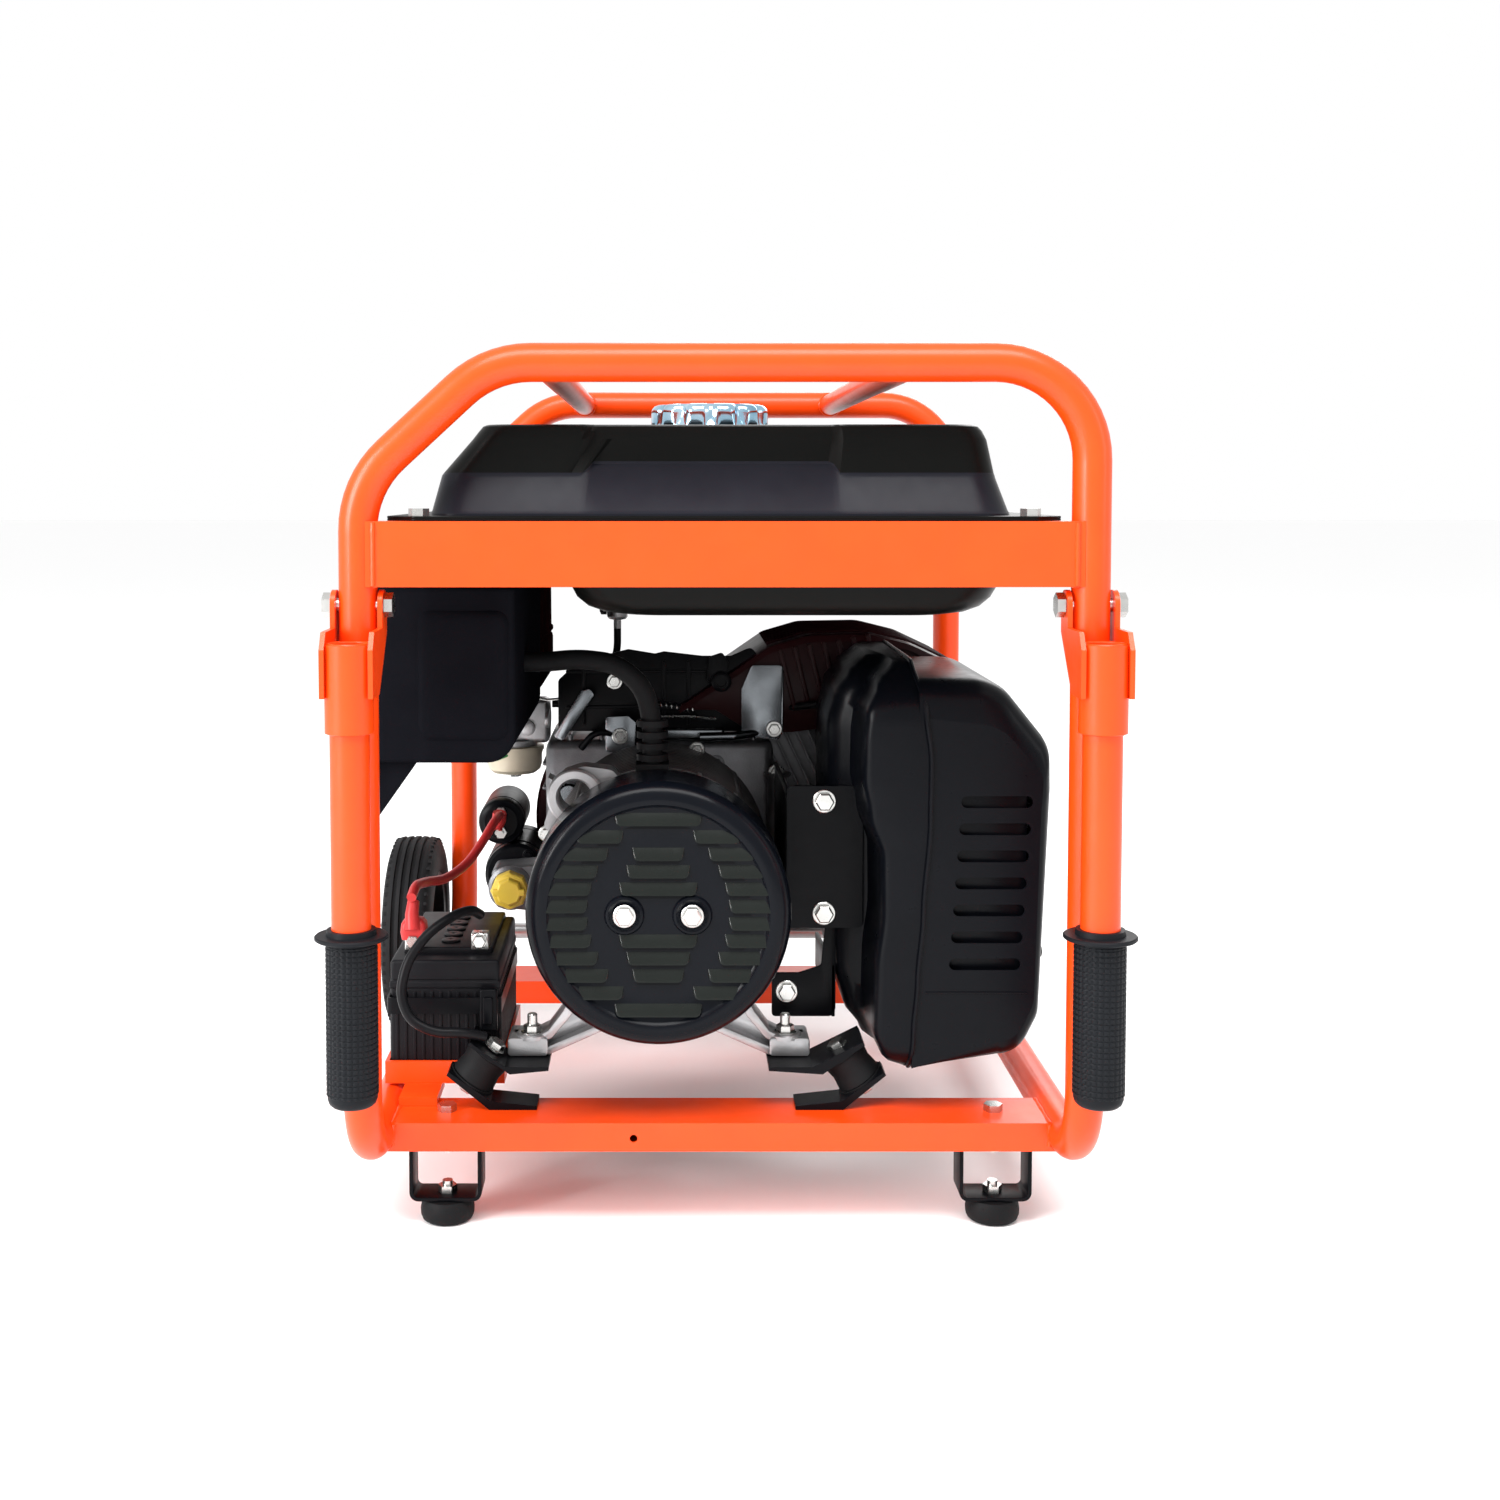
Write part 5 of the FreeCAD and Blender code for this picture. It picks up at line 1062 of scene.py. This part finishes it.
def accessories():
    """The brackets, arms and links above the alternator."""
    steel, zinc, dark = Shape(), Shape(), Shape()
    upright(steel, soft_loop([(-96, 336), (-70, 334), (-69, 362), (-76, 368), (-96, 367)], 3), 293, 296, 0.6)
    upright(steel, soft_loop([(-143, 349), (-134, 345), (-106, 386), (-110, 392), (-118, 390)], 3), 296, 299,
            0.6)
    upright(steel, soft_loop([(25, 349), (60, 346), (62, 413), (34, 413), (25, 392)], 4), 296, 298.5, 0.6)
    steel.slab(soft_loop([(behind(298), 350), (behind(334), 350), (behind(334), 408), (behind(298), 412)], 4),
               60, 62.5,
               facing("+X"), 0.6)
    steel.sweep(rounded([(-12, behind(292), 349), (18, behind(292), 350), (40, behind(300), 352)], [10], 6),
                4, 16)
    steel.lathe([(10, 0), (10, 14), (8, 16), (0, 16)], facing("-Y", -128, behind(292), 300), 28)
    steel.block((-70, behind(300), 345), (10, behind(330), 356), 3)
    steel.done("engine_brackets", "cast_aluminium", "frame", finish="bracket_steel")
    for x, z, near in ((-14.8, 338, 292), (55.8, 318, 292), (54, 356, 295), (-88, 398, 300), (-149, 262, 296),
                       (-83, 350, 293)):
        zinc.bolt(facing("-Y", x, behind(near), z), 4.8, 4, 7.2)
    zinc.sweep([(-83, behind(296), 352), (-60, behind(302), 366), (-20, behind(304), 366),
                (10, behind(312), 362)], 1.3, 8)
    spring = []
    for step in range(120):
        turn = step / 120 * math.tau * 9
        part = step / 120
        spring.append((-58 + 42 * part, behind(306) + 3 * math.cos(turn),
                       378 + 3 * math.sin(turn) - 6 * part))
    zinc.sweep(spring, 0.7, 6)
    zinc.done("engine_links", "zinc", "frame")
    upright(dark, soft_loop([(-6, 398), (10, 394), (14, 414), (8, 424), (-4, 420)], 3), 300, 303, 0.6)
    upright(dark, soft_loop([(-64, 371), (-30, 371), (-26, 376), (-64, 377)], 2), 303, 306, 0.6)
    dark.lathe([(9, 0), (9, 4), (6.6, 5.2), (5, 5.2), (5, 1)], facing("-Y", 7, behind(300), 398), 28)
    dark.sweep(rounded([(-118, behind(300), 338), (-104, behind(292), 356), (-70, behind(300), 344),
                        (-30, behind(296), 330)],
                       [14, 16], 6), 3, 12)
    guard = [(-139, 352), (-139, 398), (-124, 412), (-100, 420), (-76, 426), (-52, 422), (-44, 424),
             (-10, 420), (16, 420),
             (34, 428), (44, 416), (44, 352)]
    upright(dark, soft_loop(guard, 5), 309, 312, 0.8)
    for x in (-116, -44, -22):
        upright(dark, oblong(x - 1.6, x + 1.6, 358, 416, 1.2), 307, 309.4, 0.5)
    for z in (374, 406):
        upright(dark, oblong(-132, 10, z - 1.4, z + 1.4, 1.2), 307.4, 309.4, 0.5)
    dark.done("engine_small_parts", "black_paint", "frame")


def shroud():
    """The blower housing with its roof, the recoil cup, the pull handle and its rope."""
    low, high = span("blower_housing")
    near, far = low.y, high.y

    def outline(radius, reach, half):
        centre = Vector((SHAFT_X, SHAFT_Z))
        u, v = Vector((math.cos(RISE), math.sin(RISE))), Vector((-math.sin(RISE), math.cos(RISE)))
        start = math.acos(half / radius)
        points = []
        for step in range(61):
            turn = RISE + math.pi / 2 - start + (math.tau - math.pi + 2 * start) * step / 60
            points.append(centre + Vector((math.cos(turn), math.sin(turn))) * radius)
        corners = [centre + u * reach - v * half, centre + u * reach + v * half]
        loop = [points[-1], *corners, points[0]]
        bend = rounded(loop, [24, 24], 8)
        return [(p.x, p.y) for p in points + bend[1:-1]]

    shell = Shape()
    rows = []
    scroll, reach, half = 119, 268, 84
    for depth, inset in ((0, 0), (70, 0), (86, 1.5), (97, 6), (104, 13), (107.5, 22)):
        rows.append(standing(outline(scroll - inset, reach - inset, half - inset), near + depth))
    rows.append(standing(outline(88, 240, 60), near + 107.5))
    shell.skin(rows)
    lip = ((0, 0), (-1, 2.5), (5, 2.5), (6, 0))
    shell.skin([standing(outline(scroll + out, reach + out * 0.8, half + out), near + depth)
                for depth, out in lip], caps=False)
    for index in range(6):
        at = shift(SHAFT_X, far - 1.4, SHAFT_Z) @ Matrix.Rotation(-RISE, 4, "Y")
        shell.block((146 + index * 15, -1, -50), (151 + index * 15, 1.6, 50), 1.4, at)
    top = [(-30, 376), (-6, 392), (21, 410), (50, 430), (84, 440), (140, 441), (176, 432), (214, 414),
           (228, 398)]
    line = rounded([(x, z) for x, z in top], [14, 20, 24, 30, 40, 40, 30], 5)
    rows = []
    for depth, drop in ((300, 7), (302, 1.5), (306, 0), (380, 0), (452, 0)):
        rows.append([(p.x, behind(depth), p.y - drop) for p in line])
    rows += [[(p.x, behind(d), p.y - 3) for p in line] for d in (452, 310)]
    shell.skin([*rows, rows[0]], closed=False)
    front_face = [(p.x, p.y - 2) for p in line] + [(228, 372), (150, 362), (70, 352), (34, 352), (2, 372),
                                                   (-26, 372)]
    upright(shell, front_face, 303, 305.5, 0.5)
    for index in range(7):
        at = tilted(-14, 66 + index * 13, behind(302.4), 400 + index * 2.2)
        shell.block((-2, -2.5, -28), (2, 1, 28), 0.9, at)
    for index in range(7):
        depth = 318 + index * 19
        ridge = [(p.x, behind(depth), p.y + 0.6) for p in line[4:-3]]
        shell.sweep(ridge, 1.9, 8)
    shell.done("cooling_shroud", "shroud_paint", "frame", "blower_housing", angle=40)

    low, high = span("recoil_housing")
    at = facing("+Y", SHAFT_X, low.y, SHAFT_Z)
    cup = Shape()
    cup.lathe([(88, 0), (88, 3), (86.5, 5), (84.5, 26), (81, 36), (76, 42), (70, 45), (64, 46), (60, 46),
               (60, 43), (80, 32), (82, 0)],
              at, 96, loop=True)
    slots = []
    for index in range(16):
        turn = math.tau * (index + 0.5) / 16
        slot = [(28, -3.4), (56, -5.6), (58.5, 0), (56, 5.6), (28, 3.4), (26.5, 0)]
        slot = soft_loop(slot, [1.5, 2, 3, 2, 1.5, 1.5], 3)
        slots.append([(x * math.cos(turn) - y * math.sin(turn),
                       x * math.sin(turn) + y * math.cos(turn)) for x, y in slot])
    cup.pierced(circle(61, 0, 0, 96), slots, 43.5, 45.8, at)
    cup.lathe([(22, 44), (21, 46), (0, 46)], at, 48)
    cup.block((62, -10, 6), (92, 10, 34), 4, at @ turned(46))
    lug_angles = (70, 190, 310)
    for angle in lug_angles:
        cup.slab(soft_loop([(80, -9), (94, -7), (94, 7), (80, 9)], 4), 0, 3, at @ turned(angle), 0.6)
    cup.done("recoil_cup", "shroud_paint", "frame", "recoil_housing", angle=36)
    bolts = Shape()
    for angle in lug_angles:
        bolts.bolt(at @ shift(*polar(89, angle), 3), 4.2, 4, 6)
    bolts.done("recoil_bolts", "zinc", "frame")

    low, high = span("recoil_grip")
    grip, rope = Shape(), Shape()
    x, y, z = low.x + 8, (low.y + high.y) / 2, 301
    profile = [(0, -36), (5, -35.6), (7.4, -33), (8, -28), (7, -12), (6.6, 0), (7, 12), (8, 28), (7.4, 33),
               (5, 35.6), (0, 36)]
    grip.lathe(profile, shift(x, y, z), 32)
    grip.lathe([(7, 0), (6, 5), (4.2, 11), (3.4, 14), (0, 14)], facing("+X", x + 4, y, z), 28)
    for height in (-24, -18, 18, 24):
        grip.lathe([(7.6, height - 1), (8.0, height), (7.6, height + 1), (6, height + 1), (6, height - 1)],
                   shift(x, y, z), 32, loop=True)
    grip.done("recoil_pull_handle", "panel_plastic", "starter_grip", "recoil_grip")
    rope.sweep([(x + 16, y, z), (x + 60, y, z), (high.x - 1, y, z)], 2, 12)
    rope.done("recoil_rope", "panel_plastic", "starter_grip")


def intake():
    """The air cleaner, and the carburettor with its float bowl and links."""
    low, high = span("air_cleaner")
    cover, trim = Shape(), Shape()
    cover.block((-262, low.y + 3, 385), (-156, high.y - 3, 428), 6)
    cover.block((low.x, low.y, 427), (-156.2, high.y, 433), 2)
    rows = []
    for z, inset in ((432, 1), (470, 1.4), (484, 3.4), (491, 8), (494.6, 15), (495.8, 24)):
        rows.append(level(oblong(low.x + inset, -156.5 - inset * 0.6, low.y + inset, high.y - inset,
                                 14, 7), z))
    cover.skin(rows)
    for index in range(8):
        y = low.y + 18 + index * 20
        cover.block((low.x - 0.2, y - 2.2, 440), (low.x + 3, y + 2.2, 478), 1)
        cover.block((low.x + 26, y - 2.2, 494.4), (-184, y + 2.2, 497.0 - 1.0), 0.7)
    for index in range(6):
        x = low.x + 14 + index * 16
        cover.block((x - 2, low.y - 0.4, 440), (x + 2, low.y + 3, 478), 1)
        cover.block((x - 2, high.y - 3, 440), (x + 2, high.y + 0.4, 478), 1)
    cover.done("air_cleaner_case", "panel_plastic", "frame", "air_cleaner", finish="intake_plastic")
    for y in (low.y + 44, high.y - 44):
        trim.block((low.x - 0.4, y - 7, 418), (low.x + 2, y + 7, 446), 0.8)
        trim.sweep([(low.x + 1, y - 5, 446), (low.x - 0.0, y, 449), (low.x + 1, y + 5, 446)], 1.2, 8)
    trim.done("air_cleaner_clips", "zinc", "frame")

    body, bowl, steel = Shape(), Shape(), Shape()
    body.block((-206, behind(386), 330), (-152, behind(414), 372), 5)
    body.lathe([(20, 0), (20, 4), (16, 6), (16, 20)], facing("-X", -190, behind(400), 352), 36)
    body.lathe([(22, 0), (22, 6), (0, 6)], facing("+Z", -186, behind(400), 326), 40)
    body.block((-212, behind(380), 370), (-168, behind(420), 385), 3)
    body.slab(soft_loop([(-26, 0), (0, -17), (26, 0), (0, 17)], 8), 0, 4,
              facing("+X", -156, behind(400), 352), 0.6)
    body.lathe([(7, 0), (7, 5), (5, 6), (0, 6)], facing("-Y", -172, behind(386), 345), 20)
    body.done("carburettor_casting", "cast_aluminium", "frame", "carburettor")
    bowl.lathe([(26.8, 326), (27, 322), (26, 318), (26, 310), (24.5, 304.5), (20, 301), (12, 300.2),
                (0, 300.2)],
               shift(-186, behind(400), 0), 56)
    bowl.lathe([(28, 323), (28, 326.5), (25, 327)], shift(-186, behind(400), 0), 56)
    bowl.done("float_bowl", "cast_aluminium", "frame", finish="bowl_paint")
    steel.lathe([(6, 296.8), (6.4, 298), (6.4, 301)], shift(-186, behind(400), 0), 6)
    upright(steel, soft_loop([(-214, 346), (-206, 340), (-204, 372), (-210, 374)], 2), 378, 380, 0.4)
    steel.sweep([(-209, behind(379), 368), (-190, behind(372), 380), (-150, behind(330), 378),
                 (-112, behind(306), 384)], 1.2, 8)
    steel.done("carburettor_links", "zinc", "frame")
    wire = Shape()
    wire.sweep(rounded([(-186, behind(378), 322), (-204, behind(366), 316), (-214, behind(352), 330),
                        (-212, behind(340), 356)],
                       [12, 12], 6), 1.5, 10)
    wire.done("carburettor_wire", "cable_black", "frame", finish="wire_green")


def starter():
    """The starter motor, the solenoid on it, and the oil filler cap beside it."""
    low, high = span("starter_motor")
    x, z = -181, 212
    motor = Shape()
    depth = high.y - low.y
    motor.lathe([(0, 0), (12, 0), (13, -2), (26, -3), (29, -6), (29.4, -14), (28.4, -15), (28.4, -17),
                 (30, -18),
                 (30, -72), (28.6, -73), (28.6, -76), (29.6, -77), (29.6, -94), (24, -depth + 2),
                 (20, -depth), (0, -depth)],
                facing("-Y", x, low.y, z), 56)
    for angle in (60, 240):
        dx, dz = polar(22, angle)
        motor.bolt(facing("-Y", x + dx, low.y + 3, z + dz), 3.4, 3, 5)
    motor.done("starter_casing", "black_paint", "frame", "starter_motor")
    low, high = span("starter_solenoid")
    can, lug = Shape(), Shape()
    x, z, front = -194, 263, low.y + 12
    can.lathe([(0, 2), (15, 2), (17, 0), (20, -1), (21, -3), (21, -14), (20.2, -15), (20.2, -17), (21, -18),
               (21, -78), (20, -80), (0, -80)],
              facing("-Y", x, front, z), 48)
    can.sweep(rounded([(-186, front + 60, 244), (-183, front + 60, 232)], [], 1), 7, 16)
    can.done("solenoid_can", "black_paint", "frame", "starter_solenoid")
    for dz in (9, -9):
        lug.lathe([(3, 0), (3, 12), (0, 12)], facing("-Y", x, front, z + dz), 20)
        lug.lathe([(5.6, 2), (5.6, 6), (0, 6)], facing("-Y", x, front, z + dz), 6)
    lug.done("solenoid_posts", "zinc", "frame")
    boot = Shape()
    boot.sweep([(x, front - 13, z + 11), (x - 1, front - 11, z + 4), (x - 3, front - 14, z - 4)],
               [6.2, 6.6, 5], 16)
    boot.done("solenoid_boot", "cable_red", "frame")

    low, high = span("oil_filler_cap")
    cap = Shape()
    at = facing("-Y", -182, low.y, 211)
    cap.lathe([(0, 0), (10, 0), (11.5, -1), (13, -6), (16, -7), (17, -8.5), (17, -19), (16, -21)], at, 8)
    cap.block((-14.5, -3, -5), (14.5, 3, -0.05), 1.2, at)
    cap.lathe([(10, -20), (10, -high.y + low.y + 1)], at, 32)
    cap.done("oil_cap_knob", "cap_plastic", "oil_cap", "oil_filler_cap", angle=20)


def fuel_tap():
    """The tap under the tank and its lever."""
    low, high = span("fuel_valve")
    x, y = (low.x + high.x) / 2, (low.y + high.y) / 2
    tap = Shape()
    tap.lathe([(0, 438), (3.6, 438), (3.6, 446), (8, 447), (9.6, 449), (9.6, 466), (8, 468), (6, 468.5),
               (6, 476), (9.6, 476), (9.6, 478), (0, 478)],
              shift(x, y, 0), 32)
    tap.lathe([(8, 0), (8, 1.6), (0, 1.6)], facing("-X", x - 8.2, y, 458), 32)
    tap.done("fuel_tap", "cast_aluminium", "frame", "fuel_valve")
    low, high = span("fuel_valve_lever")
    lever = Shape()
    at = facing("-X", high.x, y, 458)
    lever.lathe([(7, 0), (7, 4.8), (6, 5.6), (0, 5.6)], at, 32)
    lever.slab(soft_loop([(0, -4), (29, -3), (29.6, 3), (0, 4)], [0, 2.4, 2.4, 0]), 1.6, 5.4, at, 0.9)
    lever.done("fuel_tap_lever", "panel_plastic", "valve_lever", "fuel_valve_lever")


# ---------------------------------------------------------------- wheels and switches

def wheels():
    """Grooved tyres on discs with five ribs and five holes."""
    y, z = behind(592), 100
    for name, side in SIDES:
        x = side * 307
        at = facing("+X" if side > 0 else "-X", x, y, z)
        tyre = Shape()
        profile = [(62.5, -23), (66, -24.6), (80, -25), (90, -24.2), (95.5, -21.5), (98.6, -17.5),
                   (99.4, -14)]
        for centre in (-12, -4, 4, 12):
            profile += [(100 - 0.25 * abs(centre) / 4, centre - 2.2), (96.2, centre - 1.6),
                        (96.2, centre + 1.6),
                        (100 - 0.25 * abs(centre) / 4, centre + 2.2)]
        profile += [(99.4, 14), (98.6, 17.5), (95.5, 21.5), (90, 24.2), (80, 25), (66, 24.6), (62.5, 23)]
        tyre.lathe(profile, at, 120, loop=True)
        for index in range(60):
            turn = at @ Matrix.Rotation(math.tau * index / 60, 4, "Z")
            for sign in (-1, 1):
                low, high = sorted((sign * 17.2, sign * 21.8))
                tyre.block((93.5, -1.9, low), (97.9, 1.9, high), 0.7, turn)
        tyre.done(f"{name}_wheel_tyre", "tyre_rubber", f"wheel_{name}", f"wheel_{name}_tyre", angle=34)
        rim = Shape()
        for sign in (-1, 1):
            face = [(10, 4), (20, 4), (26, 9), (44, 9), (52, 5), (55, 12), (56, 22), (62, 23), (63, 21),
                    (60, 2), (10, 0)]
            rim.lathe([(radius, sign * height) for radius, height in face], at, 96, loop=True)
            for index in range(5):
                turn = at @ Matrix.Rotation(math.tau * index / 5, 4, "Z")
                rim.lathe([(7.6, sign * 8.6), (7.6, sign * 9.6), (6.4, sign * 9.8), (5.8, sign * 8.6)],
                          turn @ shift(35, 0, 0), 28, loop=True)
                low, high = sorted((sign * 3, sign * 10.4))
                rim.block((22, -2, low), (50, 2, high), 1.2, turn @ Matrix.Rotation(math.pi / 5, 4, "Z"))
            rim.lathe([(8.1, sign * 2), (17, sign * 2), (18, sign * 24), (16.5, sign * 26), (8.1, sign * 26)],
                      at, 48, loop=True)
        rim.done(f"{name}_wheel_disc", "black_paint", f"wheel_{name}", f"wheel_{name}_rim", angle=34)


def switches():
    """The key in its lock, and the breaker's toggle."""
    low, high = span("key_switch")
    y, z = (low.y + high.y) / 2, (low.z + high.z) / 2
    key = Shape()
    at = facing("-X", -275, y, z)
    key.lathe([(9.8, 0), (9.8, 3), (8.4, 5), (6, 5.6), (0, 5.6)], at, 40)
    key.block((-1.2, -4.5, 5), (1.2, 4.5, 14), 0.5, at)
    key.slab(soft_loop([(-5, -9.4), (5, -9.4), (6, 0), (5, 9.4), (-5, 9.4), (-6, 0)], 3), -1.4, 1.4,
             facing("+Y", -292, y, z), 0.6)
    key.done("ignition_key", "key_steel", "key", "key_switch")
    low, high = span("circuit_breaker")
    toggle = Shape()
    y, z = (low.y + high.y) / 2, (low.z + high.z) / 2
    toggle.skin([[(x, py, pz) for py, pz in oblong(y - w, y + w, z - h, z + h, 1.2, 3)]
                 for x, w, h in ((low.x, 2.6, 2.6), (low.x + 1, 3.4, 3.4), (low.x + 9, 3.9, 3.9),
                                 (high.x, 3.9, 3.9))])
    toggle.done("breaker_toggle_lever", "socket_plastic", "breaker", "circuit_breaker")

PIECES = (frame_welds, feet, handles, tank_upper, tank_lower, fuel_cap, alternator_cover, end_bell, mounts,
          muffler,
          muffler_plate, battery, control_box, crankcase, accessories, shroud, intake, starter, fuel_tap,
          wheels, switches)


# ---------------------------------------------------------------- studio

def studio():
    """Pale floor, white surroundings, soft lamps, and the camera of the photograph."""
    floor = bpy.data.meshes.new("floor")
    floor.from_pydata([(-30, -30, -0.0005), (30, -30, -0.0005), (30, 30, -0.0005), (-30, 30, -0.0005)], [],
                      [(0, 1, 2, 3)])
    floor.materials.append(surface("studio_floor", (0.975, 0.975, 0.975), 0.8, vary=0.005, bump=0.0))
    ground = bpy.data.objects.new("studio_floor", floor)
    scene.collection.objects.link(ground)

    world = bpy.data.worlds.new("studio")
    scene.world = world
    world.use_nodes = True
    world.node_tree.nodes["Background"].inputs["Color"].default_value = (1.0, 1.0, 1.0, 1)
    world.node_tree.nodes["Background"].inputs["Strength"].default_value = 1.0
    scene.view_settings.view_transform = "Standard"

    def panel(name, place, aim, size, power):
        light = bpy.data.lights.new(name, "AREA")
        light.shape = "RECTANGLE"
        light.size, light.size_y = size
        light.energy = power
        lamp = bpy.data.objects.new(name, light)
        lamp.location = place
        lamp.rotation_euler = (Vector(aim) - Vector(place)).to_track_quat("-Z", "Y").to_euler()
        scene.collection.objects.link(lamp)

    middle = (0, 0, 0.35)
    panel("left_front", (-2.8, -1.9, 1.5), middle, (1.2, 1.8), 105)
    panel("right_front", (2.8, -1.4, 1.3), middle, (0.7, 1.8), 10)
    panel("overhead", (0.0, -1.5, 2.7), middle, (2.6, 1.0), 98)
    panel("behind", (0.8, 2.8, 1.8), middle, (2.0, 1.4), 30)
    panel("left_edge", (-2.6, -2.4, 0.9), (-0.05, -0.3, 0.3), (0.16, 1.2), 26)

    lens = bpy.data.cameras.new("camera")
    lens.lens, lens.sensor_width = 42.79, 36
    lens.shift_x, lens.shift_y = 0.056, -0.113
    lens.clip_end = 100
    camera = bpy.data.objects.new("camera", lens)
    camera.location = (-0.0422, -1.5957, 0.5702)
    camera.rotation_euler = (math.radians(90 - 2.97), 0, 0)
    scene.collection.objects.link(camera)
    scene.camera = camera


def cad_finishes():
    """CAD nodes that stay on show take the finishes of their slots."""
    for entry in frame["record"]["subparts"]:
        node = frame["nodes"][entry["node"]]
        if not node.hide_render:
            node.data.materials.clear()
            node.data.materials.append(MATERIALS[entry["material_slot"]])


studio()
for make in PIECES:
    make()
cad_finishes()
